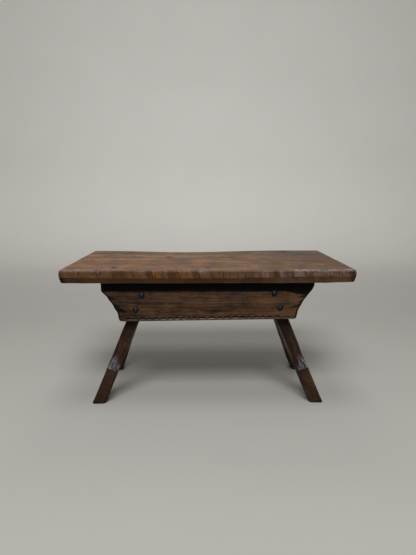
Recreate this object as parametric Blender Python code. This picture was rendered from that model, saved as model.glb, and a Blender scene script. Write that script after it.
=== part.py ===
"""A low rustic oak stool.

One hewn plank is nailed down on two shaped aprons. The aprons are nailed to four splayed legs, and a
rail behind them joins each front leg to the back leg of the same end, with pegged tenons.
The origin is on the floor under the middle of the seat: +X along the seat, +Y to the back, +Z up.
"""

import math

import bmesh
import bpy
from mathutils import Matrix, Vector

# Overall sizes, in metres
SEAT_LENGTH = 0.700
SEAT_DEPTH = 0.350
SEAT_THICKNESS = 0.0325
STOOL_HEIGHT = 0.3645

# Play left between pieces that touch, and how far a cutter runs past the wood it cuts
FIT_GAP = 0.0003
CUT_OVERRUN = 0.002

# Seat plank: an upright upper facet over a bevel that runs in under the edge, and a worn top arris
SEAT_BEVEL_HEIGHT = 0.014
SEAT_BEVEL_INSET = 0.008
SEAT_ARRIS_DROP = 0.0025
SEAT_ARRIS_INSET = 0.003
SEAT_BAYS = 25

# The plank's ends are rounded to a nose over this length, and it is a little thinner past the aprons
SEAT_NOSE_LENGTH = 0.010
SEAT_LEFT_LIFT = 0.0005
SEAT_RIGHT_LIFT = 0.0022
# Along the nose, the drop of its top and the rise of its underside as shares of the thickness
SEAT_NOSE_SHARES = ((0.0, 0.24, 0.30), (0.12, 0.11, 0.18), (0.40, 0.03, 0.08), (1.0, 0.0, 0.0))

# The hollow worn into the back of the seat: its depth at the back edge, and where it is deepest
SEAT_HOLLOW_DEPTH = 0.005
SEAT_HOLLOW_CENTRE_X = -0.060
SEAT_HOLLOW_START_Y = 0.035
# Places of the lines along the top, front to back, as shares of the half depth
SEAT_TOP_LINE_SHARES = (-0.62, 0.2, 0.42, 0.60, 0.86)

# Shallow hewing along the seat's edges: its depth, and the turn of its wave from station to station
HEWN_DEPTH = 0.0012
HEWN_TURN = math.radians(137.5)

# Aprons, set back under the seat
APRON_END_OVERHANG = 0.0896
APRON_SETBACK = 0.029
APRON_THICKNESS = 0.0205
APRON_HEIGHT = 0.0979
APRON_END_INSET = 0.0430
APRON_EDGE_SLANT = 0.0065
APRON_CHAMFER_WIDTH = 0.0060
APRON_CHAMFER_DEPTH = 0.0030
# The hand-cut ogees of an apron's left and right ends: depth below the top edge as a share of the
# height, and the way in from the top corner as a share of the inset
LEFT_OGEE_SHARES = (
    (0.0, 0.0), (0.22, 0.0), (0.265, 0.04), (0.31, 0.16), (0.36, 0.285), (0.41, 0.365), (0.48, 0.45),
    (0.54, 0.57), (0.61, 0.665), (0.67, 0.715), (0.74, 0.825), (0.82, 0.905), (0.91, 0.925), (1.0, 1.0),
)
RIGHT_OGEE_SHARES = (
    (0.0, 0.0), (0.10, 0.01), (0.165, 0.05), (0.24, 0.14), (0.325, 0.295), (0.40, 0.41), (0.48, 0.545),
    (0.545, 0.63), (0.63, 0.715), (0.71, 0.82), (0.79, 0.89), (0.88, 0.93), (0.94, 0.955), (1.0, 1.0),
)

# Thumbnail notches gouged along an apron's lower edge, and the strip of wood kept under them
NOTCH_WIDTH = 0.014
NOTCH_RIB = 0.0035
NOTCH_HEIGHT = 0.0085
NOTCH_DEPTH = 0.0040
NOTCH_LIP = 0.0030
# The arched outline of a notch: shares of its half width and height
NOTCH_ARCH_SHARES = (
    (-1.0, 0.0), (-0.94, 0.55), (-0.55, 0.92), (0.0, 1.0), (0.55, 0.92), (0.94, 0.55), (1.0, 0.0),
)
# The deepest line of a notch: shares of its half width and height
NOTCH_ROOT_SHARES = ((-0.5, 0.68), (0.0, 0.78), (0.5, 0.68))

# Legs: stepped in below a shoulder, splayed outwards along the seat, and bent out a little at the shoulder
LEG_WIDTH = 0.031
LEG_DEPTH = 0.040
LEG_CHAMFER = 0.0045
FRONT_LEG_END_MARGIN = 0.031
BACK_LEG_END_MARGIN = 0.019
FRONT_SPLAY = math.radians(22.85)
BACK_SPLAY = math.radians(19.3)
KNEE_OUTSET = 0.001
SHOULDER_HEIGHT = 0.102
SHOULDER_SWELL = 0.0007
SHOULDER_STEP = 0.0009
SHOULDER_FALL = 0.004
SWELL_LENGTH = 0.060
FOOT_WIDTH = 0.033
FOOT_DEPTH = 0.039

# Forged nails through the aprons into the legs
NAIL_SHANK = 0.006
NAIL_TIP = 0.003
NAIL_BITE = 0.024
NAIL_HEAD_WIDTH = 0.0135
NAIL_HEAD_RIM = 0.0012
NAIL_HEAD_HEIGHT = 0.0045
NAIL_CROWN_WIDTH = 0.004
NAIL_OUTSET = 0.0035
UPPER_NAIL_DROP = 0.0311
LOWER_NAIL_DROP = 0.0677
LOWER_NAIL_TURN = math.radians(45)

# Flat-headed nails through the seat into the aprons' top edges
SEAT_NAIL_SHANK = 0.005
SEAT_NAIL_TIP = 0.0025
SEAT_NAIL_BITE = 0.034
SEAT_NAIL_HEAD_WIDTH = 0.0135
SEAT_NAIL_HEAD_THICKNESS = 0.0022
SEAT_NAIL_SINK = 0.0006
SEAT_NAIL_END_MARGIN = 0.030

# Cross rails between a front and a back leg, their tenons and the pegs through them
RAIL_THICKNESS = 0.020
RAIL_LOWER_SHOULDER = 0.005
TENON_THICKNESS = 0.009
TENON_HEIGHT = 0.020
TENON_LENGTH = 0.022
PEG_DIAMETER = 0.0070
PEG_PROUD = 0.0012

# Finishes: colour, roughness, metallic
SEAT_FINISH = ((0.17, 0.105, 0.065), 0.45, 0.0)
OAK_FINISH = ((0.055, 0.029, 0.016), 0.50, 0.0)
PEG_FINISH = ((0.045, 0.024, 0.013), 0.60, 0.0)
IRON_FINISH = ((0.018, 0.021, 0.026), 0.45, 0.9)

# Places worked out from the sizes above
EIGHTHS = [math.tau * i / 8 for i in range(8)]
UNDERSIDE_Z = STOOL_HEIGHT - SEAT_THICKNESS
CARRIED_Z = UNDERSIDE_Z - FIT_GAP
APRON_LOWER_Z = CARRIED_Z - APRON_HEIGHT
APRON_TOP_HALF = SEAT_LENGTH / 2 - APRON_END_OVERHANG
APRON_FACE_Y = SEAT_DEPTH / 2 - APRON_SETBACK
APRON_MIDDLE_Y = APRON_FACE_Y - APRON_THICKNESS / 2
LEG_OUTER_Y = APRON_FACE_Y - APRON_THICKNESS - FIT_GAP
LEG_MIDDLE_Y = LEG_OUTER_Y - LEG_DEPTH / 2
LEG_INNER_Y = LEG_OUTER_Y - LEG_DEPTH
UPPER_NAIL_Z = CARRIED_Z - UPPER_NAIL_DROP
LOWER_NAIL_Z = CARRIED_Z - LOWER_NAIL_DROP
# Every leg and rail leans about a point on its middle line, level with the aprons' lower edges
APRON_LOWER_HALF = APRON_TOP_HALF - APRON_END_INSET
LEAN_X = {"front": APRON_LOWER_HALF - FRONT_LEG_END_MARGIN, "back": APRON_LOWER_HALF - BACK_LEG_END_MARGIN}
SPLAYS = {"front": FRONT_SPLAY, "back": BACK_SPLAY}

# A rail leans halfway between its two legs, and its tenons meet the legs' middle lines
TENON_Z = (UPPER_NAIL_Z + LOWER_NAIL_Z) / 2
TENON_RISE = TENON_Z - APRON_LOWER_Z
FRONT_TENON_X = LEAN_X["front"] - TENON_RISE * math.tan(FRONT_SPLAY)
BACK_TENON_X = LEAN_X["back"] - TENON_RISE * math.tan(BACK_SPLAY)
RAIL_SPLAY = (FRONT_SPLAY + BACK_SPLAY) / 2
RAIL_LEAN_X = (FRONT_TENON_X + BACK_TENON_X) / 2 + TENON_RISE * math.tan(RAIL_SPLAY)
RAIL_SKEW = (BACK_TENON_X - FRONT_TENON_X) / (2 * LEG_MIDDLE_Y)
TENON_MIDDLE = TENON_RISE / math.cos(RAIL_SPLAY)

# The two rows of pieces along the seat, the two ends of each, and the two nails of each leg
ROWS = (("front", -1), ("back", 1))
ENDS = (("left", -1), ("right", 1))
NAIL_PLACES = (("upper", UPPER_NAIL_Z, 0), ("lower", LOWER_NAIL_Z, LOWER_NAIL_TURN))


def clear_scene():
    for old in list(bpy.data.objects):
        bpy.data.objects.remove(old)


def make_material(name, finish):
    colour, roughness, metallic = finish
    material = bpy.data.materials.new(name)
    material.use_nodes = True
    shader = material.node_tree.nodes["Principled BSDF"]
    shader.inputs["Base Color"].default_value = (*colour, 1.0)
    shader.inputs["Roughness"].default_value = roughness
    shader.inputs["Metallic"].default_value = metallic
    return material


def make_object(name, mesh, finish, location=(0, 0, 0), turn=Matrix.Identity(3)):
    """Place a mesh as a named piece with its own material, under the stool's empty."""
    piece = bpy.data.objects.new(name, mesh)
    bpy.context.collection.objects.link(piece)
    piece.parent = stool
    piece.location = location
    piece.rotation_euler = turn.to_euler()
    piece.data.materials.append(make_material(name + "_finish", finish))
    return piece


def make_cutter(name, mesh, location=(0, 0, 0), turn=Matrix.Identity(3)):
    cutter = bpy.data.objects.new(name, mesh)
    bpy.context.collection.objects.link(cutter)
    cutter.parent = stool
    cutter.location = location
    cutter.rotation_euler = turn.to_euler()
    cutter.hide_render = True
    cutter.display_type = "WIRE"
    return cutter


def cut(piece, cutter):
    modifier = piece.modifiers.new("cut_" + cutter.name, "BOOLEAN")
    modifier.operation = "DIFFERENCE"
    modifier.solver = "EXACT"
    modifier.object = cutter


def mesh_from(name, bm):
    bmesh.ops.recalc_face_normals(bm, faces=bm.faces)
    mesh = bpy.data.meshes.new(name)
    bm.to_mesh(mesh)
    bm.free()
    return mesh


def loft(name, rings):
    """Join rings of equally many points by quads, and close both ends."""
    bm = bmesh.new()
    rows = [[bm.verts.new(point) for point in ring] for ring in rings]
    count = len(rows[0])
    for lower, upper in zip(rows, rows[1:]):
        for i in range(count):
            j = (i + 1) % count
            bm.faces.new((lower[i], lower[j], upper[j], upper[i]))
    bm.faces.new(rows[0])
    bm.faces.new(rows[-1])
    return mesh_from(name, bm)


def hull(name, clouds):
    """A closed convex body round each cloud of points."""
    bm = bmesh.new()
    for cloud in clouds:
        points = [bm.verts.new(point) for point in cloud]
        made = bmesh.ops.convex_hull(bm, input=points)
        spare = [item for item in made["geom_interior"] if isinstance(item, bmesh.types.BMVert)]
        bmesh.ops.delete(bm, geom=spare, context="VERTS")
    return mesh_from(name, bm)


def square(width, z):
    half = width / 2
    return [(-half, -half, z), (half, -half, z), (half, half, z), (-half, half, z)]


def octagon(diameter, z):
    half = diameter / 2
    return [(half * math.cos(turn), half * math.sin(turn), z) for turn in EIGHTHS]


def eight_point_square(width, z):
    """A square with a point at every eighth of a turn, to loft to an octagon."""
    points = []
    for turn in EIGHTHS:
        half = width / 2 / max(abs(math.cos(turn)), abs(math.sin(turn)))
        points.append((half * math.cos(turn), half * math.sin(turn), z))
    return points


def smooth_step(share):
    share = min(max(share, 0.0), 1.0)
    return share * share * (3 - 2 * share)


def hollow(x, y):
    """How far the worn seat lies under its flat front at this place."""
    reach = SEAT_LENGTH / 2
    along = 1 - smooth_step(abs(x - SEAT_HOLLOW_CENTRE_X) / (reach - abs(SEAT_HOLLOW_CENTRE_X)))
    across = smooth_step((y - SEAT_HOLLOW_START_Y) / (SEAT_DEPTH / 2 - SEAT_HOLLOW_START_Y))
    return SEAT_HOLLOW_DEPTH * along * across


def seat_section(x, half_depth, drop, rise, hewn):
    """The plank's section across its length, from the lower front edge round over the top."""
    end_lift = SEAT_RIGHT_LIFT if x > 0 else SEAT_LEFT_LIFT
    lift = end_lift * smooth_step((abs(x) - APRON_TOP_HALF) / APRON_END_OVERHANG)
    bottom = UNDERSIDE_Z + max(lift, rise * SEAT_THICKNESS)
    top = STOOL_HEIGHT - drop * SEAT_THICKNESS
    scale = (top - bottom) / SEAT_THICKNESS
    points = [
        (-half_depth + SEAT_BEVEL_INSET, bottom),
        (-half_depth + hewn, bottom + SEAT_BEVEL_HEIGHT * scale),
        (-half_depth, top - SEAT_ARRIS_DROP * scale),
        (-half_depth + SEAT_ARRIS_INSET + hewn, top),
    ]
    for share in SEAT_TOP_LINE_SHARES:
        y = share * half_depth
        points.append((y, top - hollow(x, y)))
    back = top - hollow(x, half_depth)
    points += [
        (half_depth - SEAT_ARRIS_INSET, back),
        (half_depth, back - SEAT_ARRIS_DROP * scale),
        (half_depth - hewn, bottom + SEAT_BEVEL_HEIGHT * scale),
        (half_depth - SEAT_BEVEL_INSET, bottom),
    ]
    return [(x, y, z) for y, z in points]


def seat_mesh():
    half_length = SEAT_LENGTH / 2
    half_depth = SEAT_DEPTH / 2
    plain = half_length - SEAT_NOSE_LENGTH
    rings = []
    for share, drop, rise in SEAT_NOSE_SHARES:
        corner = SEAT_NOSE_LENGTH * (1 - math.sqrt(1 - (1 - share) ** 2))
        rings.append((-half_length + share * SEAT_NOSE_LENGTH, half_depth - corner, drop, rise, 0))
    for i in range(1, SEAT_BAYS):
        hewn = HEWN_DEPTH * (1 + math.sin(i * HEWN_TURN)) / 2
        rings.append((plain * (2 * i / SEAT_BAYS - 1), half_depth, 0, 0, hewn))
    for share, drop, rise in reversed(SEAT_NOSE_SHARES):
        corner = SEAT_NOSE_LENGTH * (1 - math.sqrt(1 - (1 - share) ** 2))
        rings.append((half_length - share * SEAT_NOSE_LENGTH, half_depth - corner, drop, rise, 0))
    return loft("seat_top", [seat_section(*ring) for ring in rings])


def ogee_line(shares, side, end_inset):
    """One end's outline in the apron's own face, from the top corner down."""
    line = []
    for down, inwards in shares:
        x = APRON_TOP_HALF - inwards * APRON_END_INSET - end_inset
        line.append((side * x, -down * APRON_HEIGHT))
    return line


def apron_outline(end_inset):
    """The apron's outline in its own face, round from the lower left corner over the top."""
    left = ogee_line(LEFT_OGEE_SHARES, -1, end_inset)[::-1]
    right = ogee_line(RIGHT_OGEE_SHARES, 1, end_inset)
    outline = []
    for x, z in left + right:
        slant = APRON_EDGE_SLANT * x / (2 * APRON_TOP_HALF) * (-z / APRON_HEIGHT)
        outline.append((x, z + slant))
    return outline


def apron_mesh():
    """An apron with its face towards -Y, its top edge at z = 0 and the face at y = 0."""
    full = apron_outline(0)
    worked = apron_outline(APRON_CHAMFER_WIDTH)
    rings = [
        [(x, 0, z) for x, z in worked],
        [(x, APRON_CHAMFER_DEPTH, z) for x, z in full],
        [(x, APRON_THICKNESS, z) for x, z in full],
    ]
    return loft("apron", rings)


def notch_cloud(x):
    """The wedge of one gouge cut: steep above, with a floor that runs out at the lip."""
    slant = APRON_EDGE_SLANT * x / (2 * APRON_TOP_HALF)
    foot = slant - APRON_HEIGHT + NOTCH_LIP
    cloud = []
    for across, up in NOTCH_ARCH_SHARES:
        for y in (-CUT_OVERRUN, 0):
            cloud.append((x + across * NOTCH_WIDTH / 2, y, foot + up * NOTCH_HEIGHT))
    for across, up in NOTCH_ROOT_SHARES:
        cloud.append((x + across * NOTCH_WIDTH / 2, NOTCH_DEPTH, foot + up * NOTCH_HEIGHT))
    return cloud


def notch_mesh():
    pitch = NOTCH_WIDTH + NOTCH_RIB
    worked_length = 2 * (APRON_LOWER_HALF - APRON_CHAMFER_WIDTH)
    count = int(worked_length / pitch)
    first = -(count - 1) / 2 * pitch
    return hull("notches", [notch_cloud(first + i * pitch) for i in range(count)])


def leg_ring(width, depth, outset, place):
    """An octagon of the leg's section, set out along X. place gives the height of each point of it."""
    a, b, c = width / 2, depth / 2, LEG_CHAMFER
    corners = [
        (a - c, -b), (a, -b + c), (a, b - c), (a - c, b),
        (-a + c, b), (-a, b - c), (-a, -b + c), (-a + c, -b),
    ]
    return [(x + outset, y, place(x + outset)) for x, y in corners]


def level(height, lean):
    """For a point across a leaning piece, the place along it that comes to this world height."""
    return lambda x: (height - APRON_LOWER_Z + x * math.sin(lean)) / math.cos(lean)


def leg_mesh(name, side, lean):
    knee = side * KNEE_OUTSET
    foot = -APRON_LOWER_Z / math.cos(lean)
    shoulder = foot + SHOULDER_HEIGHT
    swell_width = LEG_WIDTH + 2 * SHOULDER_SWELL
    swell_depth = LEG_DEPTH + 2 * SHOULDER_SWELL
    rings = [
        leg_ring(FOOT_WIDTH, FOOT_DEPTH, knee, level(0, lean)),
        leg_ring(swell_width - 2 * SHOULDER_STEP, swell_depth - 2 * SHOULDER_STEP, knee,
                 lambda x: shoulder - SHOULDER_FALL),
        leg_ring(swell_width, swell_depth, knee, lambda x: shoulder),
        leg_ring(LEG_WIDTH, LEG_DEPTH, 0, lambda x: shoulder + SWELL_LENGTH),
        leg_ring(LEG_WIDTH, LEG_DEPTH, 0, level(CARRIED_Z, lean)),
    ]
    return loft(name, rings)


def skewed(ring, side, lean):
    """Slide a ring of the rail along the seat, as far as its place between the two legs asks."""
    slid = []
    for x, y, z in ring:
        slide = side * RAIL_SKEW * y
        slid.append((x + slide * math.cos(lean), y, z + slide * math.sin(lean)))
    return slid


def tenon_ring(y, side, lean, grown=0):
    half = TENON_THICKNESS / 2 + grown
    low = TENON_MIDDLE - TENON_HEIGHT / 2 - grown
    high = TENON_MIDDLE + TENON_HEIGHT / 2 + grown
    return skewed([(-half, y, low), (half, y, low), (half, y, high), (-half, y, high)], side, lean)


def rail_ring(y, side, lean):
    half = RAIL_THICKNESS / 2
    low = TENON_MIDDLE - TENON_HEIGHT / 2 - RAIL_LOWER_SHOULDER
    place = level(CARRIED_Z, lean)
    ring = [(-half, y, low), (half, y, low), (half, y, place(half)), (-half, y, place(-half))]
    return skewed(ring, side, lean)


def rail_mesh(name, side, lean):
    shoulder = LEG_INNER_Y - FIT_GAP
    end = LEG_INNER_Y + TENON_LENGTH
    rings = [
        tenon_ring(-end, side, lean), tenon_ring(-shoulder, side, lean), rail_ring(-shoulder, side, lean),
        rail_ring(shoulder, side, lean), tenon_ring(shoulder, side, lean), tenon_ring(end, side, lean),
    ]
    return loft(name, rings)


def mortise_mesh(facing, side, lean):
    """The cut for the mortise of a leg on this side, a little larger all round than the tenon."""
    start = facing * (LEG_INNER_Y - CUT_OVERRUN)
    end = facing * (LEG_INNER_Y + TENON_LENGTH + FIT_GAP)
    return loft("mortise", [tenon_ring(y, side, lean, FIT_GAP) for y in (start, end)])


def nail_mesh():
    """A forged nail, its point down -Z, its head a low pyramid over a thin rim."""
    length = APRON_THICKNESS + NAIL_BITE
    rings = [
        square(NAIL_TIP, -length),
        square(NAIL_SHANK, 0),
        square(NAIL_HEAD_WIDTH, 0),
        square(NAIL_HEAD_WIDTH, NAIL_HEAD_RIM),
        square(NAIL_CROWN_WIDTH, NAIL_HEAD_HEIGHT),
    ]
    return loft("apron_nail", rings)


def nail_hole_mesh():
    length = APRON_THICKNESS + NAIL_BITE
    play = 2 * FIT_GAP
    taper = (NAIL_SHANK - NAIL_TIP) / length
    rings = [
        square(NAIL_TIP + play, -length - FIT_GAP),
        square(NAIL_SHANK + play + taper * CUT_OVERRUN, CUT_OVERRUN),
    ]
    return loft("apron_nail_hole", rings)


def seat_nail_mesh(length):
    """A nail with a flat head, its top at z = 0 and its point down -Z."""
    under = -SEAT_NAIL_HEAD_THICKNESS
    rings = [
        eight_point_square(SEAT_NAIL_TIP, -length),
        eight_point_square(SEAT_NAIL_SHANK, under),
        octagon(SEAT_NAIL_HEAD_WIDTH, under),
        octagon(SEAT_NAIL_HEAD_WIDTH, 0),
    ]
    return loft("seat_nail", rings)


def seat_nail_hole_mesh(length):
    under = -SEAT_NAIL_HEAD_THICKNESS - FIT_GAP
    play = 2 * FIT_GAP
    rings = [
        eight_point_square(SEAT_NAIL_TIP + play, -length - FIT_GAP),
        eight_point_square(SEAT_NAIL_SHANK + play, under),
        octagon(SEAT_NAIL_HEAD_WIDTH + play, under),
        octagon(SEAT_NAIL_HEAD_WIDTH + play, CUT_OVERRUN),
    ]
    return loft("seat_nail_hole", rings)


def peg_mesh(name, grown=0, overrun=0):
    """A whittled peg along Z, as long as the leg is wide and a little proud at both ends."""
    reach = LEG_WIDTH / 2 + PEG_PROUD + overrun
    return loft(name, [octagon(PEG_DIAMETER + 2 * grown, z) for z in (-reach, reach)])


def lean_place(side, row, height, y):
    """The point of a leg's middle line at this world height, moved to y."""
    out = LEAN_X[row] - (height - APRON_LOWER_Z) * math.tan(SPLAYS[row])
    return Vector((side * out, y, height))


def build_aprons():
    aprons = {}
    for row, facing in ROWS:
        turn = Matrix.Rotation(0 if facing < 0 else math.pi, 3, "Z")
        place = (0, facing * APRON_FACE_Y, CARRIED_Z)
        apron = make_object(row + "_apron", apron_mesh(), OAK_FINISH, place, turn)
        cut(apron, make_cutter(row + "_notches", notch_mesh(), place, turn))
        aprons[row] = apron
    return aprons


def build_legs():
    legs = {}
    for row, facing in ROWS:
        for end, side in ENDS:
            lean = -side * SPLAYS[row]
            name = f"{row}_{end}_leg"
            place = (side * LEAN_X[row], facing * LEG_MIDDLE_Y, APRON_LOWER_Z)
            turn = Matrix.Rotation(lean, 3, "Y")
            legs[row, end] = make_object(name, leg_mesh(name, side, lean), OAK_FINISH, place, turn)
    return legs


def build_rails(legs):
    """The cross rails, the mortises for their tenons, and the pegs that lock them."""
    for end, side in ENDS:
        lean = -side * RAIL_SPLAY
        place = (side * RAIL_LEAN_X, 0, APRON_LOWER_Z)
        turn = Matrix.Rotation(lean, 3, "Y")
        name = end + "_cross_rail"
        rail = make_object(name, rail_mesh(name, side, lean), OAK_FINISH, place, turn)
        for row, facing in ROWS:
            leg = legs[row, end]
            mortise = make_cutter(f"{row}_{end}_mortise", mortise_mesh(facing, side, lean), place, turn)
            cut(leg, mortise)
            peg_place = lean_place(side, row, TENON_Z, facing * (LEG_INNER_Y + TENON_LENGTH / 2))
            peg_turn = Matrix.Rotation(math.pi / 2 - side * SPLAYS[row], 3, "Y")
            make_object(f"{row}_{end}_rail_peg", peg_mesh("rail_peg"), PEG_FINISH, peg_place, peg_turn)
            hole_mesh = peg_mesh("peg_hole", FIT_GAP, CUT_OVERRUN)
            hole = make_cutter(f"{row}_{end}_peg_hole", hole_mesh, peg_place, peg_turn)
            cut(leg, hole)
            cut(rail, hole)


def build_apron_nails(aprons, legs):
    for row, facing in ROWS:
        for end, side in ENDS:
            for level_name, height, spin in NAIL_PLACES:
                place = lean_place(side, row, height, facing * (APRON_FACE_Y + FIT_GAP))
                place.x += side * NAIL_OUTSET
                place.z -= facing * APRON_EDGE_SLANT * place.x / (2 * APRON_TOP_HALF)
                turn = Matrix.Rotation(-facing * math.pi / 2, 3, "X") @ Matrix.Rotation(spin, 3, "Z")
                name = f"{row}_{end}_{level_name}_nail"
                make_object(name, nail_mesh(), IRON_FINISH, place, turn)
                hole = make_cutter(name + "_hole", nail_hole_mesh(), place, turn)
                cut(aprons[row], hole)
                cut(legs[row, end], hole)


def build_seat(aprons):
    """The plank and the nails through it into the aprons' top edges."""
    seat = make_object("seat_top", seat_mesh(), SEAT_FINISH)
    for row, facing in ROWS:
        for place_name, share in (("left", -1), ("middle", 0), ("right", 1)):
            x = share * (APRON_TOP_HALF - SEAT_NAIL_END_MARGIN)
            y = facing * APRON_MIDDLE_Y
            top = STOOL_HEIGHT - hollow(x, y) - SEAT_NAIL_SINK
            length = top - CARRIED_Z + SEAT_NAIL_BITE
            name = f"{row}_{place_name}_seat_nail"
            make_object(name, seat_nail_mesh(length), IRON_FINISH, (x, y, top))
            hole = make_cutter(name + "_hole", seat_nail_hole_mesh(length), (x, y, top))
            cut(seat, hole)
            cut(aprons[row], hole)


clear_scene()
stool = bpy.data.objects.new("oak_stool", None)
bpy.context.collection.objects.link(stool)
apron_pieces = build_aprons()
leg_pieces = build_legs()
build_rails(leg_pieces)
build_apron_nails(apron_pieces, leg_pieces)
build_seat(apron_pieces)
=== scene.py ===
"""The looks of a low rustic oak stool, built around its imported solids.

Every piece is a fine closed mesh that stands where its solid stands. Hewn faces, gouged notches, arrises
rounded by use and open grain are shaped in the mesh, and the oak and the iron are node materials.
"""

import math

import bpy
import numpy as np
from mathutils import Matrix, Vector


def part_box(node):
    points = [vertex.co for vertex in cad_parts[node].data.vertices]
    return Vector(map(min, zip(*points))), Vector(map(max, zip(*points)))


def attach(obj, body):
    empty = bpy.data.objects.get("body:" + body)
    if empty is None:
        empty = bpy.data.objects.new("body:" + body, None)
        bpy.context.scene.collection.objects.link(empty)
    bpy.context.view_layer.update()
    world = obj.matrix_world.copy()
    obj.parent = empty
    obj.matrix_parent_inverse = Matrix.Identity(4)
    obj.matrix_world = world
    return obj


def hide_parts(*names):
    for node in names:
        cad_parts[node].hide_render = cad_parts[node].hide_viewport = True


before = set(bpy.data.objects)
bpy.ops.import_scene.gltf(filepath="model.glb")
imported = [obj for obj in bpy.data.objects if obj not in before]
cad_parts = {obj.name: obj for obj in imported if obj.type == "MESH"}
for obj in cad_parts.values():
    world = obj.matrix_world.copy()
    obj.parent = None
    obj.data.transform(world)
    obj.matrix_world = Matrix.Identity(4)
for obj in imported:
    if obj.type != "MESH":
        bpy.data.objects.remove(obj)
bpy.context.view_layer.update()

MM = 0.001
TAU = math.tau

# Sizes read from the solids
SEAT_LOW, SEAT_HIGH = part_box("seat_top")
APRON_LOW, APRON_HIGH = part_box("front_apron")
SEAT_HALF_LENGTH = SEAT_HIGH[0]
SEAT_HALF_DEPTH = SEAT_HIGH[1]
SEAT_TOP_Z = SEAT_HIGH[2]
UNDERSIDE_Z = SEAT_LOW[2]
CARRIED_Z = APRON_HIGH[2]
APRON_TOP_HALF = APRON_HIGH[0]
APRON_FACE_Y = -APRON_LOW[1]
APRON_THICKNESS = APRON_HIGH[1] - APRON_LOW[1]

# Sizes that the solids share with this script
APRON_HEIGHT = 97.9 * MM
APRON_END_INSET = 43.0 * MM
APRON_EDGE_SLANT = 6.5 * MM
APRON_LOWER_Z = CARRIED_Z - APRON_HEIGHT
APRON_LOWER_HALF = APRON_TOP_HALF - APRON_END_INSET
LEAN_X = {"front": APRON_LOWER_HALF - 31.0 * MM, "back": APRON_LOWER_HALF - 19.0 * MM}
SPLAYS = {"front": math.radians(22.85), "back": math.radians(19.3)}
KNEE_OUTSET = 1.0 * MM
LEG_WIDTH = 31.0 * MM
LEG_DEPTH = 40.0 * MM
FOOT_WIDTH = 33.0 * MM
FOOT_DEPTH = 39.0 * MM
LEG_CHAMFER = 4.5 * MM
SHOULDER_HEIGHT = 102.0 * MM
SHOULDER_SWELL = 0.7 * MM
SHOULDER_STEP = 0.9 * MM
SWELL_LENGTH = 60.0 * MM
HOLLOW_DEPTH = 5.0 * MM
HOLLOW_CENTRE_X = -60.0 * MM
HOLLOW_START_Y = 35.0 * MM
FIT_GAP = 0.3 * MM
LEG_OUTER_Y = APRON_FACE_Y - APRON_THICKNESS - FIT_GAP
LEG_MIDDLE_Y = LEG_OUTER_Y - LEG_DEPTH / 2
LEG_INNER_Y = LEG_OUTER_Y - LEG_DEPTH
TENON_LENGTH = 22.0 * MM
UPPER_NAIL_Z = CARRIED_Z - 31.1 * MM
LOWER_NAIL_Z = CARRIED_Z - 67.7 * MM
TENON_Z = (UPPER_NAIL_Z + LOWER_NAIL_Z) / 2
ROWS = (("front", -1), ("back", 1))
ENDS = (("left", -1), ("right", 1))

# Values that every point of a mesh carries for its material
CHANNELS = ("blaze", "facet", "grime", "patch", "tone", "wear")


# Shaping


def smooth(share):
    share = np.clip(share, 0.0, 1.0)
    return share * share * (3 - 2 * share)


def ease(place, start, length):
    """From 0 to 1 over a length that begins at start, both in millimetres."""
    return smooth((place - start * MM) / (length * MM))


def fade(place, start, length):
    """From 1 to 0 over a length that begins at start, both in millimetres."""
    return 1 - ease(place, start, length)


def arc(share):
    share = np.clip(share, 0, 1)
    return np.sqrt(1 - (1 - share) ** 2)


def spans(x, marks, soft):
    """Sum at x of marks with soft edges. Each has a start, an end and a strength, in millimetres."""
    total = 0 * x
    for start, end, strength in marks:
        total = total + strength * (ease(x, start - soft / 2, soft) - ease(x, end - soft / 2, soft))
    return total


def points_at(x, y, z):
    """Points from their coordinates, each an array or a single number."""
    return np.stack(np.broadcast_arrays(x, y, z), axis=-1)


def mirrored(*parts):
    """The parts in a row, then all but the last again, the other way round."""
    return np.concatenate([*parts, *(part[::-1] for part in parts[-2::-1])])


def closed_loop(out, back):
    """Rows that go out along one side of a section and back along the other."""
    return np.concatenate([out, back[:, -2:0:-1]], axis=1)


class Noise:
    """Seeded gradient noise in space, between about -1 and 1."""

    def __init__(self, seed):
        rng = np.random.default_rng(seed)
        self.order = rng.permutation(256)
        slopes = rng.normal(size=(256, 3))
        self.slopes = slopes / np.linalg.norm(slopes, axis=1)[:, None]

    def __call__(self, x, y=0, z=0):
        points = points_at(x, y, z).astype(float)
        cell = np.floor(points).astype(int)
        part = points - cell
        easing = part ** 3 * (part * (part * 6 - 15) + 10)
        total = np.zeros(points.shape[:-1])
        for corner in range(8):
            step = np.array([corner & 1, corner >> 1 & 1, corner >> 2 & 1])
            key = cell + step
            index = self.order[key[..., 0] & 255]
            index = self.order[(index + key[..., 1]) & 255]
            index = self.order[(index + key[..., 2]) & 255]
            weight = np.prod(np.where(step == 1, easing, 1 - easing), axis=-1)
            total += weight * np.sum(self.slopes[index] * (part - step), axis=-1)
        return total * 1.6

    def fractal(self, x, y=0, z=0, octaves=3, gain=0.5):
        """Layers of the noise, each twice as fine as the one before and weaker by the gain."""
        total = 0
        for octave in range(octaves):
            finer, shift = 2 ** octave, 17.3 * octave
            layer = self(x * finer + shift, y * finer + shift, z * finer + shift)
            total = total + gain ** octave * layer
        return total


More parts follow.
